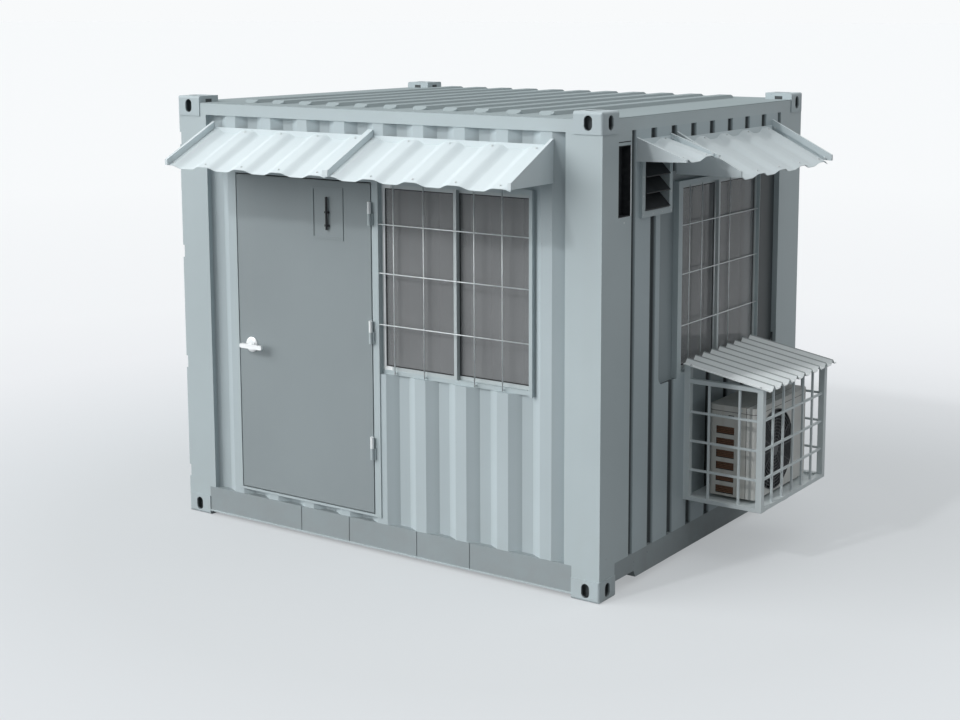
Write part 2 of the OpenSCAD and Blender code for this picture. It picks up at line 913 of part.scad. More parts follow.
// Upper knuckles, bored for the pins, on plates fixed to the leaf
module door_hinges() {
    half = hinge_h / 2;
    color("whitesmoke")
        for (z = hinge_zs)
            translate([hinge_x, hinge_y, z + half + bore_gap])
                difference() {
                    union() {
                        cylinder(h = half, r = knuckle_r);
                        translate([-leaf_gap / 2 - hinge_leaf_w, pin_r, 0])
                            cube([leaf_gap / 2 + hinge_leaf_w, knuckle_r - pin_r, half]);
                        translate([-leaf_gap / 2 - hinge_leaf_w, pin_r, 0])
                            cube([hinge_leaf_w, knuckle_r - pin_r + hinge_leaf_t, half]);
                    }
                    translate([0, 0, -eps]) cylinder(h = hinge_h, r = pin_r + bore_gap);
                }
}

module door_leaf() {
    color("lightslategray") {
        translate([leaf_x, leaf_set, leaf_z])
            cube([leaf_r - leaf_x, leaf_t, leaf_top - leaf_z]);
        translate([leaf_x + panel_x, leaf_set, panel_z]) rotate([90, 0, 0])
            linear_extrude(bead_t)
                difference() {
                    square([panel_w, panel_h]);
                    translate([bead_w, bead_w]) square([panel_w - 2 * bead_w, panel_h - 2 * bead_w]);
                }
    }
}

// Slim rod in two guides, at the middle of the beaded panel
module door_bolt() {
    depth = bolt_d / 2 + bead_t;
    x = leaf_x + panel_x + panel_w / 2;
    z = panel_z + (panel_h - bolt_l) / 2;
    color("black")
        translate([x, leaf_set - depth, z]) {
            cylinder(h = bolt_l, r = bolt_d / 2);
            for (i = [0, 1])
                translate([-guide_w / 2, 0, guide_low + i * guide_pitch])
                    cube([guide_w, depth, guide_h]);
        }
}

// Rose, bored for the spindle
module handle_rose() {
    color("whitesmoke")
        translate([spindle_x, leaf_set, leaf_z + spindle_z]) rotate([90, 0, 0])
            difference() {
                union() {
                    cylinder(h = rose_t / 2, r = rose_r);
                    translate([0, 0, rose_t / 2])
                        cylinder(h = rose_t / 2, r1 = rose_r, r2 = rose_r - rose_bevel);
                }
                translate([0, 0, rose_t / 2]) cylinder(h = rose_t, r = spindle_r + bore_gap);
            }
}

// Lever on its spindle
module door_handle() {
    end_r = lever_h / 2;
    color("whitesmoke")
        translate([spindle_x, leaf_set, leaf_z + spindle_z]) rotate([90, 0, 0]) {
            translate([0, 0, rose_t / 2 + bore_gap])
                cylinder(h = lever_reach - rose_t / 2 - bore_gap, r = spindle_r);
            translate([-stub_l, -end_r, lever_reach - lever_t])
                linear_extrude(lever_t) round_outline(stub_l + lever_l, lever_h, end_r - 2);
        }
}

// Window frame with its outer lower left corner at the origin and its face at depth y
module window_frame(w, left, right, y) {
    h = head_z - win_z;
    difference() {
        translate([0, y, 0]) cube([w, lining - y, h]);
        translate([left, y - eps, win_sill_h])
            cube([w - left - right, lining - y + 2 * eps, h - win_sill_h - win_head_h]);
    }
}

// Left and right edges of sash i in an opening from x0 to x1; the two overlap by one stile
function sash_span(i, x0, x1) =
    let (mid = (x0 + x1) / 2)
    i == 0 ? [x0, mid + sash_w / 2] : [mid - sash_w / 2, x1];

// Two sliding sashes on tracks one behind the other; sash number outer is in front
module sashes(x0, x1, y, outer) {
    h = head_z - win_z - win_sill_h - win_head_h;
    for (i = [0, 1])
        let (span = sash_span(i, x0, x1), back = i == outer ? sash_t : 2 * sash_t + track_gap)
            translate([span[0], y + back, win_sill_h]) rotate([90, 0, 0])
                linear_extrude(sash_t)
                    difference() {
                        square([span[1] - span[0], h]);
                        translate([sash_w, sash_w])
                            square([span[1] - span[0] - 2 * sash_w, h - 2 * sash_w]);
                    }
}

module panes(x0, x1, y, outer) {
    h = head_z - win_z - win_sill_h - win_head_h;
    for (i = [0, 1])
        let (span = sash_span(i, x0, x1), front = i == outer ? 0 : sash_t + track_gap)
            translate([span[0] + sash_w, y + front + (sash_t - glass_t) / 2, win_sill_h + sash_w])
                cube([span[1] - span[0] - 2 * sash_w, glass_t, h - 2 * sash_w]);
}

// Frame with a bar and a slot on its right
module front_window_frame() {
    side_w = front_bar_w + front_slot_w;
    color("slategray")
        translate([win_x, 0, win_z]) {
            window_frame(front_win_w, win_edge, side_w, front_win_set);
            translate([front_win_w - side_w, setback, 0])
                cube([front_bar_w, lining - setback, head_z - win_z]);
        }
}

module right_window_frame() {
    color("slategray")
        on_right()
            translate([end_win_y, 0, win_z])
                window_frame(end_win_w, end_member_w, win_edge, setback);
}

front_opening = [win_edge, front_win_w - front_bar_w - front_slot_w];
end_opening = [end_member_w, end_win_w - win_edge];

module window_sashes() {
    color("whitesmoke") {
        translate([win_x, 0, win_z])
            sashes(front_opening[0], front_opening[1], front_win_set + front_sash_set, 0);
        on_right() translate([end_win_y, 0, win_z])
            sashes(end_opening[0], end_opening[1], setback + end_sash_set, 1);
    }
}

module window_glass() {
    color("lightblue", 0.4) {
        translate([win_x, 0, win_z])
            panes(front_opening[0], front_opening[1], front_win_set + front_sash_set, 0);
        on_right() translate([end_win_y, 0, win_z])
            panes(end_opening[0], end_opening[1], setback + end_sash_set, 1);
    }
}

// Bent sheet between two brackets: sloping waves and a flange on the wall
module awning_sheet(w, form, plane) {
    waves = [sheet_first, sheet_pitch, sheet_valley, sheet_slope, sheet_wave_d, 0];
    reach = form[0] + plane - sheet_short;
    slope = atan2(form[6], reach);
    bends = concat([0], wave_breaks(0, w, waves, sheet_steps), [w]);
    lower = [for (x = bends) [x, -round_depth(x, waves)]];
    upper = [for (i = [len(lower) - 1 : -1 : 0]) lower[i] + [0, sheet_t]];
    translate([0, plane, form[5]])
        intersection() {
            rotate([90 + slope, 0, 0])
                translate([0, 0, -flange_h])
                    linear_extrude(reach / cos(slope) + flange_h) polygon(concat(lower, upper));
            translate([0, -form[0], -form[0]]) cube([w, form[0], 2 * form[0]]);
        }
    translate([0, plane - sheet_t, form[5] - sheet_wave_d]) cube([w, sheet_t, flange_h]);
}

// Gusset plate at x = 0, with a wider bar along its upper edge
module awning_bracket(form, plane) {
    slope_drop = rim_h / cos(atan2(form[1] - form[2], form[0] + plane));
    rotate([90, 0, 90]) {
        linear_extrude(bracket_t)
            polygon([
                [plane, form[1]], [-form[0], form[2]],
                [-form[0], form[2] - form[3]], [plane, form[4]]
            ]);
        linear_extrude(rim_w)
            polygon([
                [plane, form[1]], [-form[0], form[2]], [-form[0], form[2] - form[3]],
                [nose_w - form[0], form[2] - form[3]], [plane, form[1] - slope_drop]
            ]);
    }
}

// Brackets at both ends of a stretch from x0 to x1, with the plates on the outside
module bracket_pair(x0, x1, form, plane) {
    translate([x0, 0, 0]) awning_bracket(form, plane);
    translate([x1, 0, 0]) mirror([1, 0, 0]) awning_bracket(form, plane);
}

module front_awning_sheets() {
    w = front_awning_w / 2 - 2 * rim_w;
    color("gainsboro")
        for (x = [front_awning_x + rim_w, front_awning_mid + rim_w])
            translate([x, 0, 0]) awning_sheet(w, large_awning, wave_set);
}

module front_awning_brackets() {
    color("gainsboro") {
        bracket_pair(front_awning_x, front_awning_mid, large_awning, wave_set);
        bracket_pair(front_awning_mid, front_awning_x + front_awning_w, large_awning, wave_set);
    }
}

module right_awning_sheets() {
    color("gainsboro")
        on_right() {
            translate([vent_awning_y + rim_w, 0, 0])
                awning_sheet(vent_awning_w - 2 * rim_w, small_awning, setback);
            translate([end_awning_y + rim_w, 0, 0])
                awning_sheet(end_awning_w - 2 * rim_w, large_awning, setback);
        }
}

module right_awning_brackets() {
    color("gainsboro")
        on_right() {
            bracket_pair(vent_awning_y, vent_awning_y + vent_awning_w, small_awning, setback);
            bracket_pair(end_awning_y, end_awning_y + end_awning_w, large_awning, setback);
        }
}

// Plate round the vent's opening, with a duct into the wall
module vent_frame() {
    color("lightgray")
        on_right()
            translate([vent_y, 0, vent_z])
                difference() {
                    union() {
                        translate([-vent_rim, -vent_proud, -vent_rim])
                            cube([vent_w + 2 * vent_rim, vent_proud + setback, vent_h + 2 * vent_rim]);
                        translate([-duct_t, 0, -duct_t])
                            cube([vent_w + 2 * duct_t, duct_l, vent_h + 2 * duct_t]);
                    }
                    translate([0, -vent_proud - eps, 0])
                        cube([vent_w, duct_l + vent_proud + 2 * eps, vent_h]);
                }
}

// Sloping blades between the duct's sides
module vent_blades() {
    pitch = vent_h / blade_n;
    rise = pitch - 2 * blade_gap;
    out = vent_proud + blade_out;
    color("black")
        on_right()
            for (i = [0 : blade_n - 1])
                translate([vent_y, 0, vent_z + blade_gap + i * pitch]) rotate([90, 0, 90])
                    linear_extrude(vent_w)
                        polygon([
                            [-out, 0], [-out, blade_t], [blade_deep, rise], [blade_deep, rise - blade_t]
                        ]);
}

// Dark tray in the corner post, for the cable connections
module cable_recess() {
    color("black")
        on_right()
            translate([recess_y, setback, recess_z])
                difference() {
                    cube([recess_w, recess_d, recess_h]);
                    translate([duct_t, -eps, duct_t])
                        cube([recess_w - 2 * duct_t, recess_d - duct_t + eps, recess_h - 2 * duct_t]);
                }
}

// Plate of the light switch, on the back wall's lining
module wall_switch() {
    color("white")
        translate([switch_x - switch_w / 2, box_w - lining, switch_z]) rotate([90, 0, 0])
            linear_extrude(switch_t) round_outline(switch_w, switch_h, switch_r);
}

// Tray of the cage, on two arms fixed to the end rail and wall
module cage_shelf() {
    arm_l = cage_reach - arm_inset + setback;
    top = shelf_z - shelf_t;
    color("slategray")
        on_right() {
            translate([cage_y, -cage_reach, top])
                cube([cage_w, cage_reach + setback, shelf_t]);
            for (i = [0, 1])
                translate([cage_y + arm_y + i * arm_pitch, arm_inset - cage_reach, 0]) rotate([90, 0, 90])
                    linear_extrude(arm_w)
                        polygon([
                            [0, top], [0, top - arm_h / 3], [arm_h / 2, top - arm_h],
                            [arm_l, top - arm_h], [arm_l, top]
                        ]);
        }
}

// Flat grid in a frame w long: upright bars round the places xs, and long bars
module bar_grid(w, xs) {
    back = (cage_post - cage_bar) / 2;
    cube([w, cage_post, cage_sill]);
    translate([0, 0, cage_h - cage_rail_h]) cube([w, cage_post, cage_rail_h]);
    for (x = xs)
        translate([x - cage_bar / 2, back, 0]) cube([cage_bar, cage_bar, cage_h]);
    for (i = [0 : bar_n - 1])
        translate([0, back, bar_low + i * bar_pitch - cage_bar / 2]) cube([w, cage_bar, cage_bar]);
}

// Side of the cage that runs out from the wall; its wall post reaches up to the roof
module cage_side() {
    run = cage_reach + setback;
    rotate([0, 0, -90]) translate([-setback, 0, 0]) {
        cube([cage_post, cage_post, wall_post_h]);
        translate([run - cage_post, 0, 0]) cube([cage_post, cage_post, cage_h]);
        bar_grid(run, [side_bar_in, run - side_bar_in]);
    }
}

module cage_near_side() {
    color("gainsboro") on_right() translate([cage_y, 0, shelf_z]) cage_side();
}

module cage_far_side() {
    color("gainsboro")
        on_right() translate([cage_y + cage_w - cage_post, 0, shelf_z]) cage_side();
}

module cage_outer_side() {
    run = cage_w - 2 * cage_post;
    color("gainsboro")
        on_right()
            translate([cage_y + cage_post, -cage_reach, shelf_z])
                bar_grid(run, [for (i = [1 : outer_bar_n]) i * run / (outer_bar_n + 1)]);
}

// Ribbed sheet that falls away from the wall, with a rail between the wall posts below it
module cage_roof() {
    flat = (cage_rib_pitch - 2 * cage_rib_h) / 2;
    w = cage_rib_n * cage_rib_pitch;
    reach = cage_roof_reach + setback;
    lower = [
        for (i = [0 : cage_rib_n - 1])
            for (p = [[flat, 0], [cage_rib_pitch / 2, cage_rib_h], [cage_rib_pitch - flat, 0]])
                [i * cage_rib_pitch + p[0], p[1]]
    ];
    line = concat([[0, 0]], lower, [[w, 0]]);
    upper = [for (i = [len(line) - 1 : -1 : 0]) line[i] + [0, sheet_t]];
    color("gainsboro")
        on_right() {
            translate([cage_y + (cage_w - w) / 2, setback, cage_top + cage_fall])
                intersection() {
                    rotate([90 + atan(cage_slope), 0, 0])
                        translate([0, 0, -cage_fall])
                            linear_extrude(reach + 2 * cage_fall) polygon(concat(line, upper));
                    translate([0, -reach, -cage_h]) cube([w, reach, 2 * cage_h]);
                }
            translate([cage_y + cage_post, setback - cage_post, shelf_z + wall_post_h - cage_rail_h])
                cube([cage_w - 2 * cage_post, cage_post, cage_rail_h + sheet_t / 2]);
        }
}

// Housing with rounded upright edges, slots in its near end and a round fan opening
module aircon_housing() {
    color("antiquewhite")
        on_right()
            translate([cage_y + unit_side, -unit_set - unit_d, shelf_z]) {
                difference() {
                    translate([0, 0, unit_foot])
                        linear_extrude(unit_h) round_outline(unit_w, unit_d, unit_r);
                    for (i = [0 : slot_n - 1])
                        translate([-eps, unit_d - slot_back - slot_l, unit_foot + slot_low + i * slot_pitch])
                            cube([slot_d + eps, slot_l, slot_h]);
                    for (i = [0 : hole_n - 1])
                        translate([-eps, unit_d - hole_back - hole_w - i * hole_pitch, hole_z])
                            cube([slot_d + eps, hole_w, hole_w]);
                    for (i = [0, 1])
                        translate([-eps, unit_d - dash_back - dash_l, hole_z - dash_h + i * dash_pitch])
                            cube([slot_d + eps, dash_l, dash_h]);
                    translate([fan_margin + fan_r, fan_d, fan_z]) rotate([90, 0, 0])
                        cylinder(h = fan_d + eps, r = fan_r, $fn = 64);
                }
                for (x = [foot_in, unit_w - foot_in - foot_w])
                    translate([x, foot_edge, 0]) cube([foot_w, unit_d - 2 * foot_edge, unit_foot]);
            }
}

// Hub, rings and spokes over the fan opening
module aircon_grille() {
    step = (fan_r - hub_r) / ring_n;
    color("dimgray")
        on_right()
            translate([cage_y + unit_side + fan_margin + fan_r, -unit_set - unit_d, shelf_z + fan_z])
                rotate([90, 0, 0]) {
                    for (i = [1 : ring_n])
                        rotate_extrude($fn = 64)
                            translate([hub_r + i * step - wire_w, 0]) square([wire_w, wire_t]);
                    cylinder(h = wire_t, r = hub_r);
                    for (a = [0 : 360 / spoke_n : 359])
                        rotate([0, 0, a]) translate([0, -wire_w / 2, 0]) cube([fan_r - eps, wire_w, wire_t]);
                }
}

// The origin is on the ground, under the middle of the whole part
translate([-(box_l + cage_roof_reach) / 2, -(box_w - large_awning[0]) / 2, 0]) {
    corner_castings();
    corner_posts();
    bottom_side_rails();
    bottom_end_rails();
    top_rails();
    floor_beams();
    floor_deck();
    roof_panel();
    ceiling();
    front_wall_left();
    front_wall_head();
    front_wall_apron();
    front_wall_sill();
    front_wall_right();
    right_wall_near();
    right_wall_head();
    right_wall_apron();
    right_wall_far();
    left_wall();
    back_wall();
    door_frame();
    door_leaf();
    door_hinges();
    door_bolt();
    handle_rose();
    door_handle();
    front_window_frame();
    right_window_frame();
    window_sashes();
    window_glass();
    front_awning_sheets();
    front_awning_brackets();
    right_awning_sheets();
    right_awning_brackets();
    vent_frame();
    vent_blades();
    cable_recess();
    wall_switch();
    cage_shelf();
    cage_near_side();
    cage_outer_side();
    cage_far_side();
    cage_roof();
    aircon_housing();
    aircon_grille();
}
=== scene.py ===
import math

import bmesh
import bpy
from mathutils import Matrix, Vector


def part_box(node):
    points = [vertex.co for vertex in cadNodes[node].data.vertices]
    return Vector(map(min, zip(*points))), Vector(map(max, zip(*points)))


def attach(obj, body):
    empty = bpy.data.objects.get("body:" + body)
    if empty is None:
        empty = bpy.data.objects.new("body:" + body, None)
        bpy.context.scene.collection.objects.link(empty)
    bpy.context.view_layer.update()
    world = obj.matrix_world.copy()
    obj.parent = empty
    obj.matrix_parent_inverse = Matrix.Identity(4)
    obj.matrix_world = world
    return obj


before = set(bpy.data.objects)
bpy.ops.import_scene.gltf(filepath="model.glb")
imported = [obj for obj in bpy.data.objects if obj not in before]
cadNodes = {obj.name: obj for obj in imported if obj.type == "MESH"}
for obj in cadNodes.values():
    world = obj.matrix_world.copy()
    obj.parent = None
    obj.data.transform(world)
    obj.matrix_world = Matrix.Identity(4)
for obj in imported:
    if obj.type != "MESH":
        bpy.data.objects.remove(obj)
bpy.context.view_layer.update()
home = Vector(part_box("corner_castings")[0])  # the container's lower front left corner
away = Vector(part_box("corner_castings")[1])  # its upper back right corner
print("frame loaded:", len(cadNodes), "nodes")


# Shader maths: a Signal is a socket that Python's operators build Math nodes on
class Signal:
    def __init__(self, tree, socket):
        self.tree = tree
        self.socket = socket

    def math(self, operation, *others):
        node = self.tree.nodes.new("ShaderNodeMath")
        node.operation = operation
        for index, value in enumerate((self,) + others):
            feed(self.tree, node.inputs[index], value)
        return Signal(self.tree, node.outputs[0])

    def __add__(self, other):
        return self.math("ADD", other)

    def __sub__(self, other):
        return self.math("SUBTRACT", other)

    def __mul__(self, other):
        return self.math("MULTIPLY", other)

    def __radd__(self, other):
        return self.math("ADD", other)

    def __rmul__(self, other):
        return self.math("MULTIPLY", other)

    def __rsub__(self, other):
        return self.math("MULTIPLY", -1.0).math("ADD", other)

    def clamped(self):
        return self.math("MAXIMUM", 0.0).math("MINIMUM", 1.0)

    def rises(self, low, high):  # 0 below low, 1 above high
        return ((self - low) * (1.0 / (high - low))).clamped()

    def within(self, low, high, edge=0.001):  # 1 between low and high
        return self.rises(low - edge, low) * (1.0 - self.rises(high, high + edge))


def feed(tree, socket, value):
    if isinstance(value, Signal):
        tree.links.new(value.socket, socket)
    else:
        socket.default_value = value


class Finish:  # one material and the nodes that feed it
    def __init__(self, name):
        self.material = bpy.data.materials.new(name)
        self.material.use_nodes = True
        self.tree = self.material.node_tree
        self.tree.nodes.clear()
        self.place = self.node("ShaderNodeTexCoord", out="Object")
        split = self.node("ShaderNodeSeparateXYZ", {}, {"Vector": self.place}, out=None)
        self.x, self.y, self.z = (Signal(self.tree, split.outputs[axis]) for axis in "XYZ")

    def node(self, kind, settings={}, inputs={}, out=0):
        node = self.tree.nodes.new(kind)
        for name, value in settings.items():
            if name == "stops":
                for stop, (position, color) in enumerate(value):
                    if stop > 1:
                        node.color_ramp.elements.new(position)
                    node.color_ramp.elements[stop].position = position
                    node.color_ramp.elements[stop].color = color
            else:
                setattr(node, name, value)
        for key, value in inputs.items():
            feed(self.tree, node.inputs[key], value)
        return node if out is None else Signal(self.tree, node.outputs[out])

    def noise(self, scale, detail=2.0, stretch=(1.0, 1.0, 1.0)):
        place = self.node("ShaderNodeMapping", {}, {"Vector": self.place, "Scale": stretch})
        return self.node("ShaderNodeTexNoise", {}, {"Vector": place, "Scale": scale, "Detail": detail})

    def blend(self, first, second, factor):
        inputs = {6: opaque(first), 7: opaque(second), 0: factor}
        return self.node("ShaderNodeMix", {"data_type": "RGBA"}, inputs, out=2)

    def levels(self, value, stops):  # a grey level for each reach of a value from 0 to 1
        ramp = [(place, (level, level, level, 1.0)) for place, level in stops]
        return self.node("ShaderNodeValToRGB", {"stops": ramp}, {"Fac": value})

    def bump(self, height, distance, strength=1.0):
        inputs = {"Height": height, "Distance": distance, "Strength": strength}
        return self.node("ShaderNodeBump", {}, inputs)

    def surface(self, inputs):
        shader = self.node("ShaderNodeBsdfPrincipled", {}, inputs)
        self.node("ShaderNodeOutputMaterial", {}, {"Surface": shader}, out=None)
        return self.material


def opaque(color):
    return color if isinstance(color, Signal) else (*color, 1.0)


# Paints: base colour, tone of dust and rubbed patches, roughness, how much dirt shows, and strength of the shine
paints = {
    "framePaint": dict(color=(0.430, 0.500, 0.520), dust=(0.36, 0.38, 0.37), rough=0.42, dirt=0.5, shine=0.22),
    # painted shade: the rails' paint is a darker copy of the frame paint
    "railShadedPaint": dict(color=(0.285, 0.330, 0.345), dust=(0.25, 0.26, 0.26), rough=0.45, dirt=0.9, shine=0.22),
    # painted shade: the door's paint is a darker copy of the frame paint
    "doorShadedPaint": dict(color=(0.256, 0.296, 0.309), dust=(0.31, 0.34, 0.35), rough=0.48, dirt=0.5, shine=0.22),
    # painted shade: the roof's paint is a darker copy of the frame paint, toning down its lit top
    "roofShadedPaint": dict(color=(0.350, 0.410, 0.425), dust=(0.34, 0.36, 0.36), rough=0.60, dirt=0.8, shine=0.0),
    "awningPaint": dict(color=(0.640, 0.715, 0.740), dust=(0.57, 0.62, 0.63), rough=0.50, dirt=0.3, shine=0.1),
    "cagePaint": dict(color=(0.650, 0.715, 0.730), dust=(0.52, 0.55, 0.54), rough=0.42, dirt=0.4, shine=0.22),
    "grillePaint": dict(color=(0.085, 0.090, 0.096), dust=(0.12, 0.12, 0.12), rough=0.50, dirt=0.3, shine=0.5),
    "beamPaint": dict(color=(0.110, 0.125, 0.130), dust=(0.15, 0.14, 0.13), rough=0.60, dirt=1.0, shine=0.1),
    "whitePaint": dict(color=(0.800, 0.840, 0.850), dust=(0.66, 0.67, 0.66), rough=0.35, dirt=0.2, shine=0.3),
    "liningPaint": dict(color=(0.650, 0.670, 0.675), dust=(0.58, 0.59, 0.59), rough=0.55, dirt=0.2, shine=0.2),
}
wear = dict(  # noise scales, the noise levels where each effect starts and is full, and their shares
    mottle=1.7, mottleEdge=(0.3, 0.7), darker=0.94,
    streaks=7.0, streakEdge=(0.55, 0.85), streakShare=0.25, lengthwise=(1.0, 1.0, 0.05),
    splash=12.0, splashEdge=(0.35, 0.75), splashShare=0.4, splashBase=0.02, splashTop=0.55,
    chips=46.0, chipEdge=(0.735, 0.755), chipFields=2.3, fieldEdge=(0.50, 0.60), primer=0.45,
    peel=380.0, peelDepth=0.00015, peelStrength=0.5, roughSpread=0.12, roughDirt=0.25, shine=0.22,
)


def shaded(color, share):
    return tuple(part * share for part in color)


def wornTone(finish, color, dust, dirt):  # mottled paint with dusty streaks, ground splash and chips
    mottle = finish.noise(wear["mottle"], 5.0)
    streaks = finish.noise(wear["streaks"], 3.0, wear["lengthwise"])
    splash = finish.noise(wear["splash"], 4.0).rises(*wear["splashEdge"])
    ground = (1.0 - finish.z.rises(wear["splashBase"], wear["splashTop"])) * splash
    chips = finish.noise(wear["chips"], 3.0).rises(*wear["chipEdge"])
    chips = chips * finish.noise(wear["chipFields"], 2.0).rises(*wear["fieldEdge"])
    streaked = streaks.rises(*wear["streakEdge"]) * wear["streakShare"]
    dulled = (streaked + ground * wear["splashShare"]).clamped() * dirt
    dark = shaded(color, wear["darker"])
    tone = finish.blend(finish.blend(dark, color, mottle.rises(*wear["mottleEdge"])), dust, dulled)
    return finish.blend(tone, shaded(color, wear["primer"]), chips * dirt), mottle, dulled


def wornRough(mottle, dulled, rough):
    return (mottle - 0.5) * wear["roughSpread"] + dulled * wear["roughDirt"] + rough


def paintPeel(finish):  # the fine orange-peel skin of sprayed paint
    return finish.bump(finish.noise(wear["peel"], 2.0), wear["peelDepth"], wear["peelStrength"])


def paintedMetal(name, color, dust, rough, dirt, shine):
    finish = Finish(name)
    tone, mottle, dulled = wornTone(finish, color, dust, dirt)
    return finish.surface({
        "Base Color": tone,
        "Roughness": wornRough(mottle, dulled, rough),
        "Specular IOR Level": shine,
        "Normal": paintPeel(finish),
    })


# Wall sheets: paint outside, with painted shade that darkens it deep in the corrugation and in the end wall's far
# field, pale lining inside
walls = {
    "frontWall": dict(axis="y", face=home.y, way=1.0, color=(0.430, 0.500, 0.525),
                      recessShade=((0.0, 1.0), (0.3, 1.0), (0.47, 0.90), (1.0, 0.80))),
    "backWall": dict(axis="y", face=away.y, way=-1.0, color=(0.430, 0.500, 0.525),
                     recessShade=((0.0, 1.0), (0.3, 1.0), (0.47, 0.90), (1.0, 0.80))),
    # painted shade: the left and end walls' colours are darker copies of the front and back walls' paint
    "leftWall": dict(axis="x", face=home.x, way=1.0, color=(0.400, 0.465, 0.490), inner=0.55,
                     recessShade=((0.0, 1.0), (0.10, 1.0), (0.24, 0.40), (0.30, 0.34), (1.0, 0.5))),
    "endWall": dict(axis="x", face=away.x, way=-1.0, color=(0.410, 0.483, 0.510),
                    recessShade=((0.0, 1.0), (0.08, 1.0), (0.20, 0.16), (0.27, 0.12), (0.33, 0.62), (1.0, 0.66))),
    "endWallFar": dict(axis="x", face=away.x, way=-1.0, color=(0.410, 0.483, 0.510),
                       recessShade=((0.0, 1.0), (0.08, 1.0), (0.20, 0.16), (0.27, 0.10), (0.42, 0.10), (1.0, 0.6))),
}
# deepestShade is the share of the paint's colour left where the painted shade is full
sheet = dict(dust=(0.36, 0.38, 0.37), dirt=0.5, rough=0.44, deepestShade=0.05, shadeReach=0.1)
lining = dict(
    depth=0.1035, color=(0.74, 0.76, 0.765), shade=(0.36, 0.39, 0.40), pitch=0.278, first=2.405,
    edge=0.002, bandEdge=(0.046, 0.060), patches=0.8, patchEdge=(0.2, 0.8), patchShare=0.4,
)


def wallSheet(name, axis, face, way, color, recessShade, inner=1.0):
    finish = Finish(name)
    depth = (getattr(finish, axis) - face) * way
    # painted shade: the paint darkens with depth behind the castings' faces, standing in for shade in the grooves and
    # recesses
    recessShading = finish.levels((depth * (1.0 / sheet["shadeReach"])).clamped(), recessShade)
    tone, mottle, dulled = wornTone(finish, color, sheet["dust"], sheet["dirt"])
    outside = finish.blend(shaded(color, sheet["deepestShade"]), tone, recessShading)
    along = finish.x if axis == "y" else finish.y
    # painted shade: the dark vertical bands stand in for the shading of a corrugated lining, and inner darkens the
    # left wall's lining as painted shade
    band = (along - home.x - lining["first"]).math("PINGPONG", lining["pitch"] / 2)
    patches = finish.noise(lining["patches"]).rises(*lining["patchEdge"])
    bandShade = 1.0 - band.rises(*lining["bandEdge"])
    bandShade = bandShade * (patches * lining["patchShare"] + 1.0 - lining["patchShare"])
    inside = finish.blend(shaded(lining["color"], inner), lining["shade"], bandShade)
    return finish.surface({
        "Base Color": finish.blend(outside, inside, depth.rises(lining["depth"] - lining["edge"], lining["depth"])),
        "Roughness": wornRough(mottle, dulled, sheet["rough"]),
        "Specular IOR Level": wear["shine"],
        "Normal": paintPeel(finish),
    })


def blackSteel(name):
    finish = Finish(name)
    patches = finish.noise(30.0, 4.0)
    tone = finish.blend((0.008, 0.010, 0.012), (0.024, 0.027, 0.030), patches.rises(0.35, 0.7))
    return finish.surface({
        "Base Color": tone,
        "Roughness": patches * 0.2 + 0.45,
        "Specular IOR Level": 0.3,
        "Normal": finish.bump(finish.noise(600.0, 2.0), 0.0002, 0.4),
    })


def rubber(name):
    finish = Finish(name)
    patches = finish.noise(60.0, 4.0)
    return finish.surface({
        "Base Color": finish.blend((0.012, 0.013, 0.014), (0.030, 0.031, 0.032), patches),
        "Roughness": patches * 0.15 + 0.65,
        "Specular IOR Level": 0.25,
        "Normal": finish.bump(finish.noise(900.0, 2.0), 0.0002, 0.5),
    })


def brushedAlloy(name):
    finish = Finish(name)
    grain = finish.noise(260.0, 3.0, (0.05, 1.0, 1.0))
    tone = finish.blend((0.76, 0.79, 0.80), (0.88, 0.90, 0.91), grain)
    return finish.surface({
        "Base Color": tone,
        "Metallic": 0.4,
        "Roughness": grain * 0.15 + 0.28,
        "Normal": finish.bump(grain, 0.0001, 0.4),
    })


def galvanised(name):  # screws, rivets and guard bars
    finish = Finish(name)
    spangle = finish.node("ShaderNodeTexVoronoi", {}, {"Vector": finish.place, "Scale": 160.0}, out="Color")
    grey = finish.noise(40.0, 3.0)
    tone = finish.blend((0.50, 0.54, 0.55), (0.66, 0.70, 0.71), grey.rises(0.3, 0.7))
    return finish.surface({
        "Base Color": finish.blend(tone, spangle, 0.04),
        "Metallic": 0.25,
        "Roughness": grey * 0.2 + 0.35,
        "Specular IOR Level": 0.4,
    })


ribbing = dict(
    pitch=0.101, line=0.006, color=(0.86, 0.91, 0.92), dust=(0.74, 0.77, 0.78), ribLineShade=(0.34, 0.38, 0.39), dirt=0.3,
    rough=0.50, shine=0.1,
)


def cageSheet(name):  # pale ribbed sheet, its tone lifted as painted light against the building's shadow, with painted shade lines along its ribs
    finish = Finish(name)
    tone, mottle, dulled = wornTone(finish, ribbing["color"], ribbing["dust"], ribbing["dirt"])
    half = ribbing["pitch"] / 2
    beside = (finish.y - (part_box("cage_roof")[0][1] + half)).math("PINGPONG", half)
    # painted shade: dark lines at the rib pitch stand in for the shading of the ribs
    ribLineShade = 1.0 - beside.rises(ribbing["line"] * 0.6, ribbing["line"])
    return finish.surface({
        "Base Color": finish.blend(tone, ribbing["ribLineShade"], ribLineShade),
        "Roughness": wornRough(mottle, dulled, ribbing["rough"]),
        "Specular IOR Level": ribbing["shine"],
        "Normal": paintPeel(finish),
    })


def windowGlass(name):  # grey and a little dusty
    finish = Finish(name)
    smear = finish.noise(5.0, 3.0)
    return finish.surface({
        "Base Color": finish.blend((0.310, 0.323, 0.332), (0.365, 0.380, 0.390), smear),
        "Roughness": smear * 0.05 + 0.03,
        "Alpha": smear.rises(0.2, 0.9) * 0.06 + 0.36,
        "Specular IOR Level": 0.5,
    })


sash = dict(low=(0.40, 0.45, 0.46), high=(0.47, 0.52, 0.53), white=(0.80, 0.83, 0.84), whiteStile=(-0.24, -0.165))


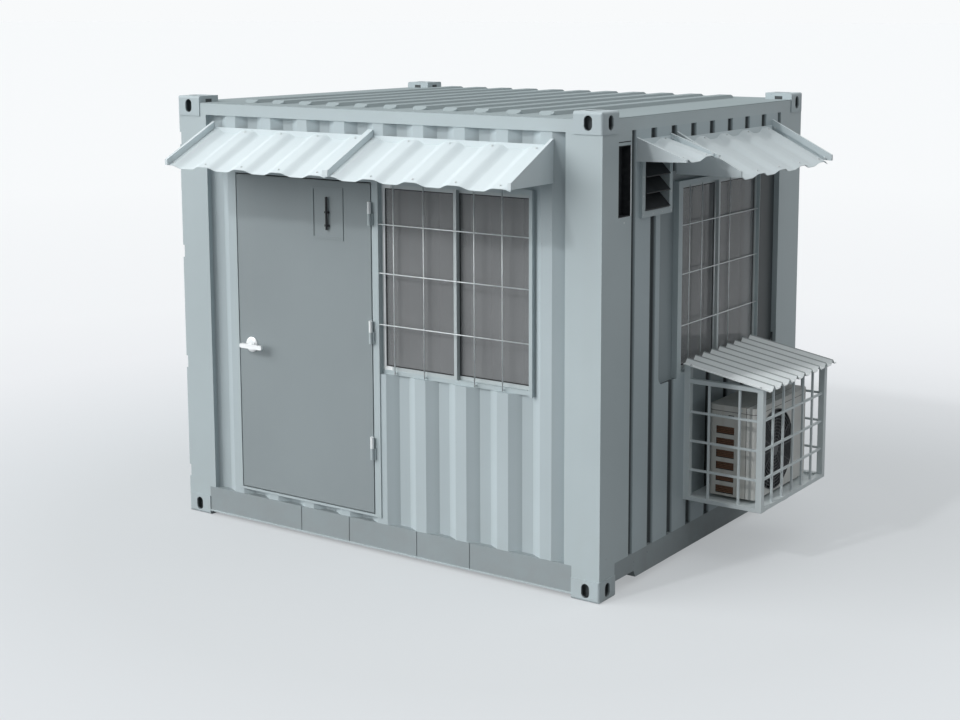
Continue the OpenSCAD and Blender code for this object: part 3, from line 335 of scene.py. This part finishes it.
def windowAlloy(name):  # coated sash with fine lengthwise grain, whiter along the front window's first stile
    finish = Finish(name)
    grain = finish.noise(90.0, 3.0, (1.0, 1.0, 0.03))
    stile = finish.x.within(*sash["whiteStile"])
    coated = finish.blend(sash["low"], sash["high"], grain)
    return finish.surface({
        "Base Color": finish.blend(coated, sash["white"], stile),
        "Roughness": grain * 0.15 + 0.32,
        "Specular IOR Level": 0.4,
        "Normal": finish.bump(grain, 0.0001, 0.3),
    })


board = dict(halfWidth=0.20, seamEdge=(0.002, 0.005))


def floorBoard(name):
    finish = Finish(name)
    grain = finish.noise(18.0, 6.0, (1.0, 0.08, 1.0))
    seam = 1.0 - (finish.x - home.x).math("PINGPONG", board["halfWidth"]).rises(*board["seamEdge"])
    tone = finish.blend(finish.blend((0.16, 0.13, 0.11), (0.26, 0.22, 0.19), grain), (0.05, 0.04, 0.035), seam)
    return finish.surface({
        "Base Color": tone,
        "Roughness": grain * 0.2 + 0.5,
        "Normal": finish.bump(grain, 0.0005, 0.4),
    })


fan = dict(  # from the housing's near lower corner; edge is where the black starts outside the radius
    radius=0.232, middle=0.250, height=0.267, depth=0.040, edge=(0.0005, 0.0015), behind=0.005, front=0.004,
)
enamel = dict(
    color=(0.540, 0.534, 0.500), pale=(0.72, 0.73, 0.71), rain=(0.30, 0.25, 0.19), seamTone=(0.10, 0.10, 0.095),
    inside=(0.008, 0.009, 0.010), seam=(0.0008, 0.0025), band=0.060, panel=0.495, lid=0.034,
    slotsDeep=(0.002, 0.024), slotsLong=(0.02, 0.17), slotsBase=0.03, slotsTop=0.055,
)


def housingEnamel(name):  # cream shell: pressed seams, a painted highlight along the front edge, black painted shade inside the openings
    finish = Finish(name)
    low, high = (Vector(corner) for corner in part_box("aircon_housing"))
    across = finish.y - (low.y + fan["middle"])
    up = finish.z - (low.z + fan["height"])
    radius = (across * across + up * up).math("SQRT")
    opening = 1.0 - radius.rises(*(fan["radius"] + step for step in fan["edge"]))
    inFan = opening * finish.x.within(high.x - fan["depth"] - fan["behind"], high.x - fan["front"])
    slots = finish.y.within(*(low.y + step for step in enamel["slotsDeep"]))
    slots = slots * finish.x.within(*(low.x + step for step in enamel["slotsLong"]))
    slots = slots * finish.z.within(low.z + enamel["slotsBase"], high.z - enamel["slotsTop"])
    mottle = finish.noise(4.0, 4.0)
    fade = finish.blend(enamel["color"], enamel["pale"], mottle.rises(0.35, 0.75) * 0.35)
    # painted highlight: a paler band along the front edge stands in for the highlight on the rounded corner
    edge = finish.x.within(high.x - enamel["band"], high.x)
    tone = finish.blend(fade, enamel["pale"], edge * 0.7)
    lid, side, panel = (
        1.0 - beside.math("ABSOLUTE").rises(*enamel["seam"]) for beside in (
            finish.z - high.z + enamel["lid"], finish.x - high.x + enamel["band"],
            finish.y - low.y - enamel["panel"],
        )
    )
    seams = lid.math("MAXIMUM", side).math("MAXIMUM", panel * edge)
    rain = finish.noise(16.0, 3.0, (1.0, 1.0, 0.05)).rises(0.55, 0.8) * 0.25
    tone = finish.blend(finish.blend(tone, enamel["rain"], rain), enamel["seamTone"], seams)
    # painted shade: the surfaces inside the fan opening and the coil slots are painted near black
    tone = finish.blend(tone, enamel["inside"], inFan.math("MAXIMUM", slots))
    return finish.surface({
        "Base Color": tone,
        "Roughness": mottle * 0.1 + 0.36,
        "Specular IOR Level": 0.35,
        "Normal": finish.bump(1.0 - seams, 0.0015, 0.7),
    })


def copperFin(name):
    finish = Finish(name)
    grain = finish.noise(120.0, 3.0, (1.0, 1.0, 4.0))
    return finish.surface({
        "Base Color": finish.blend((0.115, 0.055, 0.030), (0.30, 0.165, 0.100), grain),
        "Metallic": 0.3,
        "Roughness": grain * 0.2 + 0.4,
    })


casting = dict(
    across=0.089, along=0.081, up=0.059, color=(0.430, 0.500, 0.525), dust=(0.34, 0.36, 0.35), dirt=0.8, rough=0.46,
    inside=(0.02, 0.024, 0.026),
)
holes = dict(  # half sizes, each with the start and the end of its soft edge
    lashWide=(0.0256, 0.026), lashHigh=(0.0396, 0.040), lockLong=(0.0626, 0.063), lockWide=(0.032, 0.0324),
    depth=(0.001, 0.014),
)


def castSteel(name):  # cast corner blocks: a coarser skin, painted shade inside the lock and lashing holes
    finish = Finish(name)
    tone, mottle, dulled = wornTone(finish, casting["color"], casting["dust"], casting["dirt"])
    inX, inY, inZ = (
        (place - near).math("ABSOLUTE").math("MINIMUM", (place - far).math("ABSOLUTE"))
        for place, near, far in (
            (finish.x, home.x, away.x), (finish.y, home.y, away.y), (finish.z, home.z, away.z),
        )
    )
    midX, midY, midZ = (
        (inX - casting["across"]).math("ABSOLUTE"), (inY - casting["along"]).math("ABSOLUTE"),
        (inZ - casting["up"]).math("ABSOLUTE"),
    )
    frontHole = (1.0 - midX.rises(*holes["lashWide"])) * (1.0 - midZ.rises(*holes["lashHigh"]))
    sideHole = (1.0 - midY.rises(*holes["lashWide"])) * (1.0 - midZ.rises(*holes["lashHigh"]))
    topHole = (1.0 - midX.rises(*holes["lockLong"])) * (1.0 - midY.rises(*holes["lockWide"]))
    # painted shade: surfaces inside the holes darken with depth
    dark = (frontHole * inY.rises(*holes["depth"])).math("MAXIMUM", sideHole * inX.rises(*holes["depth"]))
    dark = dark.math("MAXIMUM", topHole * inZ.rises(*holes["depth"])) * 0.9
    return finish.surface({
        "Base Color": finish.blend(tone, casting["inside"], dark),
        "Roughness": wornRough(mottle, dulled, casting["rough"]),
        "Specular IOR Level": wear["shine"],
        "Normal": finish.bump(finish.noise(140.0, 4.0), 0.0008, 0.5),
    })


finishes = {name: paintedMetal(name, **values) for name, values in paints.items()}
finishes.update({name: wallSheet(name, **values) for name, values in walls.items()})
for maker in (
    blackSteel, rubber, brushedAlloy, galvanised, windowGlass, windowAlloy, floorBoard, housingEnamel, copperFin,
    castSteel, cageSheet,
):
    finishes[maker.__name__] = maker(maker.__name__)

dressedNodes = {
    "frontWall": ("front_wall_left", "front_wall_head", "front_wall_apron", "front_wall_sill", "front_wall_right"),
    "endWall": ("right_wall_near", "right_wall_head", "right_wall_apron"),
    "endWallFar": ("right_wall_far",),
    "leftWall": ("left_wall",),
    "backWall": ("back_wall",),
    "castSteel": ("corner_castings",),
    "framePaint": (
        "corner_posts", "top_rails", "door_frame", "front_window_frame", "right_window_frame", "vent_frame",
    ),
    "railShadedPaint": ("bottom_side_rails", "bottom_end_rails"),
    "beamPaint": ("floor_beams",),
    "doorShadedPaint": ("door_leaf",),
    "roofShadedPaint": ("roof_panel",),
    "awningPaint": (
        "front_awning_sheets", "front_awning_brackets", "right_awning_sheets", "right_awning_brackets",
    ),
    "cagePaint": ("cage_shelf", "cage_near_side", "cage_outer_side", "cage_far_side"),
    "cageSheet": ("cage_roof",),
    "whitePaint": ("door_hinges", "wall_switch"),
    "liningPaint": ("ceiling",),
    "windowAlloy": ("window_sashes",),
    "housingEnamel": ("aircon_housing",),
    "blackSteel": ("door_bolt", "vent_blades", "cable_recess"),
    "grillePaint": ("aircon_grille",),
    "brushedAlloy": ("handle_rose", "door_handle"),
    "windowGlass": ("window_glass",),
    "floorBoard": ("floor_deck",),
}
for finishName, nodeNames in dressedNodes.items():
    for nodeName in nodeNames:
        cadNodes[nodeName].data.materials.clear()
        cadNodes[nodeName].data.materials.append(finishes[finishName])
print("finishes:", len(finishes))


# Small helpers that the pieces share
def turned(direction):  # the turn that takes +Z to a direction
    return Vector((0, 0, 1)).rotation_difference(Vector(direction)).to_matrix().to_4x4()


def addBar(mesh, start, end, radius, sides=8):
    run = end - start
    place = Matrix.Translation((start + end) / 2) @ turned(run)
    bmesh.ops.create_cone(
        mesh, cap_ends=True, segments=sides, radius1=radius, radius2=radius, depth=run.length, matrix=place
    )


def addBlock(mesh, low, high, bevel=0.0):
    place = Matrix.Translation((low + high) / 2) @ Matrix.Diagonal((*(high - low), 1.0))
    made = bmesh.ops.create_cube(mesh, size=1.0, matrix=place)
    if bevel:
        edges = {edge for corner in made["verts"] for edge in corner.link_edges}
        bmesh.ops.bevel(
            mesh, geom=list(edges), offset=bevel, segments=2, profile=0.5, affect="EDGES", material=-1
        )


screwParts = (  # shares of the screw's radius and height: washer first, then its hexagon head
    dict(sides=12, lift=0.15, foot=1.0, top=0.9, thick=0.4),
    dict(sides=6, lift=0.65, foot=0.62, top=0.55, thick=0.7),
)
rivetFlat = 0.45  # height of a rivet's head as a share of its radius


def addScrew(mesh, foot, outward, radius, height):
    turn = turned(outward)
    outward = Vector(outward).normalized()
    for part in screwParts:
        place = Matrix.Translation(foot + outward * height * part["lift"]) @ turn
        bmesh.ops.create_cone(
            mesh, cap_ends=True, segments=part["sides"], radius1=radius * part["foot"],
            radius2=radius * part["top"], depth=height * part["thick"], matrix=place,
        )


def addRivet(mesh, foot, outward, radius):  # low round head
    made = bmesh.ops.create_uvsphere(mesh, u_segments=10, v_segments=6, radius=radius)
    squash = Matrix.Translation(foot) @ turned(outward) @ Matrix.Diagonal((1.0, 1.0, rivetFlat, 1.0))
    bmesh.ops.transform(mesh, matrix=squash, verts=made["verts"])


def asPiece(mesh, name, finishName, body, smooth=False):
    bmesh.ops.recalc_face_normals(mesh, faces=mesh.faces)
    data = bpy.data.meshes.new(name)
    mesh.to_mesh(data)
    mesh.free()
    for face in data.polygons:
        face.use_smooth = smooth
    data.materials.append(finishes[finishName])
    piece = bpy.data.objects.new(name, data)
    bpy.context.scene.collection.objects.link(piece)
    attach(piece, body)
    return piece


def corners(nodeName):  # the lowest and the highest corner of a node's box
    return [Vector(corner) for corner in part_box(nodeName)]


# Window guards: slim round bars, welded where they cross
guard = dict(
    radius=0.0034, levels=(0.286, 0.579, 0.856), frontUprights=(0.102, 0.310, 0.651, 0.835),
    endUprights=(0.168, 0.318, 0.478, 0.668), sill=0.024, head=0.030, frontReach=1.015, endDepth=0.014, endNear=0.045,
    weld=0.002, spacing=1.9, foot=0.006, top=0.004, stub=0.012, stubDepth=0.030,
)


def frontGuard():
    low, high = corners("front_window_frame")
    mesh = bmesh.new()
    plane = low.y + guard["radius"]
    for level in guard["levels"]:
        left = Vector((low.x - guard["weld"], plane, low.z + level))
        addBar(mesh, left, left + Vector((guard["frontReach"], 0, 0)), guard["radius"])
    behind = plane + guard["spacing"] * guard["radius"]
    for offset in guard["frontUprights"]:
        foot = Vector((low.x + offset, behind, low.z + guard["foot"]))
        addBar(mesh, foot, Vector((foot.x, behind, high.z - guard["top"])), guard["radius"])
        for height in (low.z + guard["stub"], high.z - guard["stub"]):  # stubs back to the sill and the head
            inner = Vector((foot.x, low.y + guard["stubDepth"], height))
            addBar(mesh, Vector((foot.x, behind, height)), inner, guard["radius"])
    return asPiece(mesh, "frontWindowGuard", "galvanised", "building", smooth=True)


def endGuard():
    low, high = corners("right_window_frame")
    mesh = bmesh.new()
    plane = high.x - guard["endDepth"]
    near, far = low.y + guard["endNear"], high.y - guard["weld"]
    for level in guard["levels"]:
        addBar(mesh, Vector((plane, near, low.z + level)), Vector((plane, far, low.z + level)), guard["radius"])
    for offset in guard["endUprights"]:
        inner = plane - guard["spacing"] * guard["radius"]
        foot = Vector((inner, low.y + offset, low.z + guard["sill"] - guard["weld"]))
        addBar(mesh, foot, Vector((inner, foot.y, high.z - guard["head"] + guard["weld"])), guard["radius"])
    return asPiece(mesh, "endWindowGuard", "galvanised", "building", smooth=True)


frontGuard()
endGuard()
print("window guards")


# Gaskets: a thin rubber line round each pane, on the sash's outer side
gasket = dict(  # the insets run from the window frame's box to its opening
    width=0.006, proud=0.0015, stile=0.020, overlap=0.010, frontFace=0.039, endFace=0.053, step=0.024,
    frontInsets=(0.004, 0.034), endInsets=(0.047, 0.004),
)


def addFrameLine(mesh, origin, across, out, width, height):
    w = gasket["width"]
    strips = (
        (0, 0, width, w), (0, height - w, width, height), (0, w, w, height - w), (width - w, w, width, height - w)
    )
    for left, base, right, top in strips:
        first = origin + across * left + Vector((0, 0, base))
        last = origin + across * right + Vector((0, 0, top)) + out * gasket["proud"]
        addBlock(mesh, Vector(map(min, first, last)), Vector(map(max, first, last)))


def paneGaskets():
    mesh = bmesh.new()
    frontLow, frontHigh = corners("front_window_frame")
    endLow, endHigh = corners("right_window_frame")
    stile, overlap = gasket["stile"], gasket["overlap"]
    base = frontLow.z + guard["sill"] + stile
    height = frontHigh.z - guard["head"] - stile - base
    left, right = frontLow.x + gasket["frontInsets"][0], frontHigh.x - gasket["frontInsets"][1]
    middle = (left + right) / 2
    for start, end, face in (
        (left + stile, middle - overlap, frontLow.y + gasket["frontFace"]),
        (middle + overlap, right - stile, frontLow.y + gasket["frontFace"] + gasket["step"]),
    ):
        addFrameLine(mesh, Vector((start, face, base)), Vector((1, 0, 0)), Vector((0, -1, 0)), end - start, height)
    near, far = endLow.y + gasket["endInsets"][0], endHigh.y - gasket["endInsets"][1]
    middle = (near + far) / 2
    for start, end, depth in (
        (near + stile, middle - overlap, gasket["endFace"]),
        (middle + overlap, far - stile, gasket["endFace"] - gasket["step"]),
    ):
        origin = Vector((endHigh.x - depth, start, base))
        addFrameLine(mesh, origin, Vector((0, 1, 0)), Vector((1, 0, 0)), end - start, height)
    return asPiece(mesh, "paneGaskets", "rubber", "building")


paneGaskets()
print("pane gaskets")


# Door: rubber seal on the leaf's edges, screws in the hinges, keyhole in the rose
door = dict(leaf=0.045, sealWidth=0.004, sealFrom=0.024, sealTo=0.038, sealTuck=0.001, sealBevel=0.0012)
hinge = dict(count=3, height=0.065, plate=0.016, inset=0.007, lifts=(0.014, 0.050), screwRadius=0.0042)
keyhole = dict(across=0.030, up=0.003, sunk=0.0008, half=(0.0024, 0.002, 0.012), bevel=0.0015)


def doorSeal():
    low, high = corners("door_leaf")
    mesh = bmesh.new()
    face = high.y - door["leaf"]
    w, tuck, bevel = door["sealWidth"], door["sealTuck"], door["sealBevel"]
    start, end = face + door["sealFrom"], face + door["sealTo"]
    addBlock(mesh, Vector((low.x - w, start, low.z)), Vector((low.x + tuck, end, high.z)), bevel)
    addBlock(mesh, Vector((low.x - w, start, high.z - tuck)), Vector((high.x, end, high.z + w)), bevel)
    addBlock(mesh, Vector((low.x - w, start, low.z - w)), Vector((high.x, end, low.z + tuck)), bevel)
    return asPiece(mesh, "doorSeal", "rubber", "door")


def hingeScrews():
    low, high = corners("door_hinges")
    mesh = bmesh.new()
    for step in range(hinge["count"]):
        base = low.z + step * (high.z - low.z - hinge["height"]) / (hinge["count"] - 1)
        for lift in hinge["lifts"]:
            foot = Vector((low.x + hinge["inset"], low.y + hinge["plate"], base + lift))
            addRivet(mesh, foot, (0, -1, 0), hinge["screwRadius"])
    return asPiece(mesh, "hingeScrews", "galvanised", "door", smooth=True)


def keySlot():
    low, high = corners("handle_rose")
    across = (low.x + high.x) / 2 + keyhole["across"]
    centre = Vector((across, low.y + keyhole["sunk"], (low.z + high.z) / 2 + keyhole["up"]))
    half = Vector(keyhole["half"])
    mesh = bmesh.new()
    addBlock(mesh, centre - half, centre + half, keyhole["bevel"])
    return asPiece(mesh, "keySlot", "rubber", "door")


doorSeal()
hingeScrews()
keySlot()
print("door fittings")


# Awnings: screws through the sheets' crests, at the wall and near the nose
awning = dict(
    screwRadius=0.0075, screwHeight=0.006, firstCrest=0.267, pitch=0.278, edge=0.009, sheet=0.0028, rows=(0.06, 0.93),
    halfGap=0.018, lastCrest=0.05, front=dict(setback=0.010, drop=0.191, fall=0.189, reach=0.380),
    end=dict(setback=0.005, drop=0.191, fall=0.189, reach=0.375, width=1.198),
    vent=dict(setback=0.005, drop=0.173, fall=0.084, reach=0.280, width=0.352),
)


def addSheetScrews(mesh, start, end, wallPoint, outward, along, fall, reach):
    slope = math.atan2(fall, reach)
    normal = Vector((0, 0, 1)) * math.cos(slope) + outward * math.sin(slope)
    crests = [start + awning["edge"], end - awning["edge"]]
    crest = start + awning["firstCrest"]
    while crest < end - awning["lastCrest"]:
        crests.append(crest)
        crest += awning["pitch"]
    for crest in crests:
        for part in awning["rows"]:
            point = wallPoint + along * crest + outward * (reach * part) - Vector((0, 0, fall * part))
            addScrew(mesh, point + normal * awning["sheet"], normal, awning["screwRadius"], awning["screwHeight"])


def awningScrews():
    mesh = bmesh.new()
    low, high = corners("front_awning_sheets")
    middle = (low.x + high.x) / 2
    form, gap = awning["front"], awning["halfGap"]
    wall = Vector((0, home.y + form["setback"], away.z - form["drop"]))
    for start, end in ((low.x, middle - gap), (middle + gap, high.x)):
        out, along = Vector((0, -1, 0)), Vector((1, 0, 0))
        addSheetScrews(mesh, start, end, wall, out, along, form["fall"], form["reach"])
    low, high = corners("right_awning_sheets")
    large, small = awning["end"], awning["vent"]
    for form, start, end in ((large, high.y - large["width"], high.y), (small, low.y, low.y + small["width"])):
        wall = Vector((away.x - form["setback"], 0, away.z - form["drop"]))
        out, along = Vector((1, 0, 0)), Vector((0, 1, 0))
        addSheetScrews(mesh, start, end, wall, out, along, form["fall"], form["reach"])
    return asPiece(mesh, "awningScrews", "galvanised", "building")


awningScrews()
print("awning screws")


# Vent: rivets round the plate. Cable recess: a lip on its far edge, and a slot above it
vent = dict(inset=0.015, rivetRadius=0.005, across=3, upright=3)
recess = dict(
    lip=0.007, proud=0.002, sunk=0.001, lipBevel=0.0008, slotUp=0.016, slotHeight=0.005, slotProud=0.001,
    slotBevel=0.0005, screwDown=0.030, screwRadius=0.005,
)


def ventRivets():
    low, high = corners("vent_frame")
    mesh = bmesh.new()
    edge = vent["inset"]
    ys = [low.y + edge + (high.y - low.y - 2 * edge) * i / vent["across"] for i in range(vent["across"] + 1)]
    zs = [low.z + edge + (high.z - low.z - 2 * edge) * i / vent["upright"] for i in range(vent["upright"] + 1)]
    for y in ys:
        for z in zs:
            if y in (ys[0], ys[-1]) or z in (zs[0], zs[-1]):
                addRivet(mesh, Vector((high.x, y, z)), (1, 0, 0), vent["rivetRadius"])
    return asPiece(mesh, "ventRivets", "galvanised", "building", smooth=True)


def recessLip():
    low, high = corners("cable_recess")
    mesh = bmesh.new()
    face = high.x
    start = Vector((face - recess["sunk"], high.y - recess["sunk"], low.z))
    end = Vector((face + recess["proud"], high.y + recess["lip"], high.z))
    addBlock(mesh, start, end, recess["lipBevel"])
    foot = Vector((face, (low.y + high.y) / 2, low.z - recess["screwDown"]))
    addRivet(mesh, foot, (1, 0, 0), recess["screwRadius"])
    return asPiece(mesh, "recessLip", "galvanised", "building")


def recessSlot():
    low, high = corners("cable_recess")
    mesh = bmesh.new()
    base = high.z + recess["slotUp"]
    start = Vector((high.x - recess["sunk"], low.y, base))
    end = Vector((high.x + recess["slotProud"], high.y, base + recess["slotHeight"]))
    addBlock(mesh, start, end, recess["slotBevel"])
    return asPiece(mesh, "recessSlot", "rubber", "building")


ventRivets()
recessLip()
recessSlot()
print("vent and cable recess")


# Air conditioner: copper fins in the slots, fan blades behind the grille, screws on the shell
unit = dict(
    slots=6, slotPitch=0.069, slotLow=0.034, slotHeight=0.044, slotFrom=0.044, slotLength=0.112, fins=4,
    firstFin=0.7, finRoom=0.4, finHalf=0.0022, finFace=0.004, finBack=0.019,
)
blades = dict(
    count=5, inner=0.045, outer=0.215, width=0.120, thick=0.004, hub=0.050, hubHalf=0.012, behind=0.024,
    root=0.45, sweep=0.03, twist=0.18, untwist=0.4,
)
shellScrews = dict(radius=0.005, ups=(0.045, 0.28, 0.50), panel=0.508, farEdge=0.026, alongs=(0.20, 0.235), lid=0.018)


def coilFins():
    low, high = corners("aircon_housing")
    mesh = bmesh.new()
    back = low.x + unit["slotFrom"]
    for slot in range(unit["slots"]):
        base = low.z + unit["slotLow"] + slot * unit["slotPitch"]
        for fin in range(unit["fins"]):
            level = base + unit["slotHeight"] * (fin + unit["firstFin"]) / (unit["fins"] + unit["finRoom"])
            addBlock(
                mesh, Vector((back, low.y + unit["finFace"], level - unit["finHalf"])),
                Vector((back + unit["slotLength"], low.y + unit["finBack"], level + unit["finHalf"])),
            )
    return asPiece(mesh, "coilFins", "copperFin", "building")


def fanBlades():
    low, high = corners("aircon_housing")
    centre = Vector((high.x - blades["behind"], low.y + fan["middle"], low.z + fan["height"]))
    axle = Vector((blades["hubHalf"], 0, 0))
    mesh = bmesh.new()
    addBar(mesh, centre - axle, centre + axle, blades["hub"], 24)
    length = blades["outer"] - blades["inner"]
    size = Matrix.Diagonal((length, blades["width"], blades["thick"], 1.0))
    lay = Matrix.Rotation(math.radians(90), 4, "Y") @ Matrix.Translation((blades["inner"], 0, 0))
    for count in range(blades["count"]):
        blade = bmesh.new()
        bmesh.ops.create_cube(blade, size=1.0, matrix=Matrix.Translation((length / 2, 0, 0)) @ size)
        bmesh.ops.subdivide_edges(blade, edges=blade.edges[:], cuts=3, use_grid_fill=True)
        for corner in blade.verts:  # narrow at the hub, swept and twisted towards the tip
            part = corner.co.x / length
            corner.co.y *= blades["root"] + (1.0 - blades["root"]) * part
            corner.co.y += blades["sweep"] * part * part
            corner.co.z += corner.co.y * blades["twist"] * (1.0 - blades["untwist"] * part)
        spin = Matrix.Rotation(math.tau * count / blades["count"], 4, "X")
        bmesh.ops.transform(blade, matrix=Matrix.Translation(centre) @ spin @ lay, verts=blade.verts)
        joined = bpy.data.meshes.new("blade")
        blade.to_mesh(joined)
        blade.free()
        mesh.from_mesh(joined)
        bpy.data.meshes.remove(joined)
    return asPiece(mesh, "fanBlades", "blackSteel", "building")


def housingScrews():
    low, high = corners("aircon_housing")
    mesh = bmesh.new()
    for up in shellScrews["ups"]:
        for along in (low.y + shellScrews["panel"], high.y - shellScrews["farEdge"]):
            addRivet(mesh, Vector((high.x, along, low.z + up)), (1, 0, 0), shellScrews["radius"])
    for along in shellScrews["alongs"]:
        foot = Vector((low.x + along, low.y, high.z - shellScrews["lid"]))
        addRivet(mesh, foot, (0, -1, 0), shellScrews["radius"] * 0.9)
    return asPiece(mesh, "housingScrews", "galvanised", "building", smooth=True)


coilFins()
fanBlades()
housingScrews()
print("air conditioner")


# Cage roof: hexagon screws through its flats
cage = dict(
    screwRadius=0.008, screwHeight=0.006, ribs=9, wallHeight=1.130, slope=0.085 / 0.489, sheet=0.003, edge=0.012,
    rows=(0.045, 0.475),
)


def cageScrews():
    low, high = corners("cage_roof")
    mesh = bmesh.new()
    tilt = Vector((cage["slope"], 0, 1)).normalized()
    for rib in range(cage["ribs"] + 1):
        last = cage["ribs"] * ribbing["pitch"] - cage["edge"]
        along = low.y + min(max(rib * ribbing["pitch"], cage["edge"]), last)
        for out in cage["rows"]:
            level = home.z + cage["wallHeight"] - cage["slope"] * out + cage["sheet"]
            addScrew(mesh, Vector((low.x + out, along, level)), tilt, cage["screwRadius"], cage["screwHeight"])
    return asPiece(mesh, "cageScrews", "galvanised", "building")


cageScrews()
print("cage screws")


# Long floor rails: the folded lip along their lower edges
railLip = dict(height=0.010, depth=0.0045, sunk=0.001, bevel=0.001)


def railLips():
    low, high = corners("bottom_side_rails")
    mesh = bmesh.new()
    for face, outward in ((low.y, -1.0), (high.y, 1.0)):
        tip = face + outward * railLip["depth"]
        root = face - outward * railLip["sunk"]
        start = Vector((low.x, min(root, tip), low.z))
        end = Vector((high.x, max(root, tip), low.z + railLip["height"]))
        addBlock(mesh, start, end, railLip["bevel"])
    return asPiece(mesh, "railLips", "framePaint", "building")


railLips()
print("rail lips")


# Light switch: a rocker in the plate
rocker = dict(width=0.046, height=0.070, proud=0.003, sunk=0.002, bevel=0.0015)


def switchRocker():
    low, high = corners("wall_switch")
    middle = (low + high) / 2
    half = Vector((rocker["width"] / 2, 0, rocker["height"] / 2))
    mesh = bmesh.new()
    addBlock(
        mesh, Vector((middle.x, low.y - rocker["proud"], middle.z)) - half,
        Vector((middle.x, low.y + rocker["sunk"], middle.z)) + half, rocker["bevel"],
    )
    return asPiece(mesh, "switchRocker", "whitePaint", "building")


switchRocker()
print("light switch")


# Camera, three soft lights and the studio around the part
view = dict(
    place=(5.4276, -8.0719, 3.0921), turn=33.713, pitch=8.351, lens=60.935, sensor=36, shift=(-0.0417, -0.1146),
    reach=500,
)
light = dict(
    sun=dict(strength=0.75, angle=4.0, elevation=39.0, side=18.0),
    side=dict(strength=2.8, angle=55.0, elevation=20.0, side=45.0),
    overhead=dict(strength=0.95, angle=70.0, elevation=70.0, side=-110.0),
    sky=0.30, backdrop=(0.940, 0.955, 0.965),
)


def addCamera():
    camera = bpy.data.objects.new("camera", bpy.data.cameras.new("camera"))
    camera.location = view["place"]
    camera.rotation_euler = (math.radians(90 - view["pitch"]), 0, math.radians(view["turn"]))
    camera.data.lens = view["lens"]
    camera.data.sensor_width = view["sensor"]
    camera.data.shift_x, camera.data.shift_y = view["shift"]
    camera.data.clip_end = view["reach"]
    bpy.context.scene.collection.objects.link(camera)
    bpy.context.scene.camera = camera


def addSun(name, strength, angle, elevation, side):
    lamp = bpy.data.lights.new(name, "SUN")
    lamp.energy = strength
    lamp.angle = math.radians(angle)
    sun = bpy.data.objects.new(name, lamp)
    sun.rotation_euler = (math.radians(90 - elevation), 0, math.radians(-side))
    bpy.context.scene.collection.objects.link(sun)


def seenRays(tree):  # 1 for camera, mirror and see-through rays, 0 for the rays that light the part
    path = tree.nodes.new("ShaderNodeLightPath")
    seen = Signal(tree, path.outputs["Is Camera Ray"])
    for ray in ("Is Glossy Ray", "Is Transmission Ray"):
        seen = seen.math("MAXIMUM", Signal(tree, path.outputs[ray]))
    return seen


def addSky():
    world = bpy.data.worlds.new("studio")
    world.use_nodes = True
    tree = world.node_tree
    tree.nodes.clear()
    background = tree.nodes.new("ShaderNodeBackground")
    background.inputs["Color"].default_value = (*light["backdrop"], 1.0)
    feed(tree, background.inputs["Strength"], seenRays(tree) * (1.0 - light["sky"]) + light["sky"])
    output = tree.nodes.new("ShaderNodeOutputWorld")
    tree.links.new(background.outputs[0], output.inputs["Surface"])
    bpy.context.scene.world = world


studioFloor = dict(  # share is lit and takes the shadow, glow keeps the seen floor pale
    size=400.0, reach=20.0, toLight=(0.25, 0.26, 0.27), share=0.57, glow=0.62,
    tones=(
        (0.0, (0.58, 0.605, 0.622, 1)), (0.13, (0.58, 0.605, 0.622, 1)), (0.17, (0.61, 0.635, 0.655, 1)),
        (0.285, (0.70, 0.715, 0.735, 1)), (0.40, (0.735, 0.75, 0.765, 1)), (1.0, (0.775, 0.79, 0.80, 1)),
    ),
)


def addFloor():
    mesh = bmesh.new()
    bmesh.ops.create_grid(mesh, x_segments=1, y_segments=1, size=studioFloor["size"])
    data = bpy.data.meshes.new("studioFloor")
    mesh.to_mesh(data)
    mesh.free()
    finish = Finish("studioFloor")
    distance = (finish.x * finish.x + finish.y * finish.y).math("SQRT") * (1.0 / studioFloor["reach"])
    stops = {"stops": studioFloor["tones"]}
    seenTone = finish.node("ShaderNodeValToRGB", stops, {"Fac": distance.clamped()})
    seen = seenRays(finish.tree)
    dimmed = finish.blend((0.0, 0.0, 0.0), seenTone, seen * studioFloor["share"])
    tone = finish.blend(studioFloor["toLight"], dimmed, seen)
    glow = finish.blend((0.0, 0.0, 0.0), seenTone, seen * studioFloor["glow"])
    data.materials.append(finish.surface({
        "Base Color": tone, "Roughness": 0.9, "Specular IOR Level": 0.0,
        "Emission Color": glow, "Emission Strength": 1.0,
    }))
    floor = bpy.data.objects.new("studioFloor", data)
    bpy.context.scene.collection.objects.link(floor)


addCamera()
addSun("daylight", **light["sun"])
addSun("sideLight", **light["side"])
addSun("overheadLight", **light["overhead"])
addSky()
addFloor()
bpy.context.scene.view_settings.view_transform = "Standard"
print("camera and light")
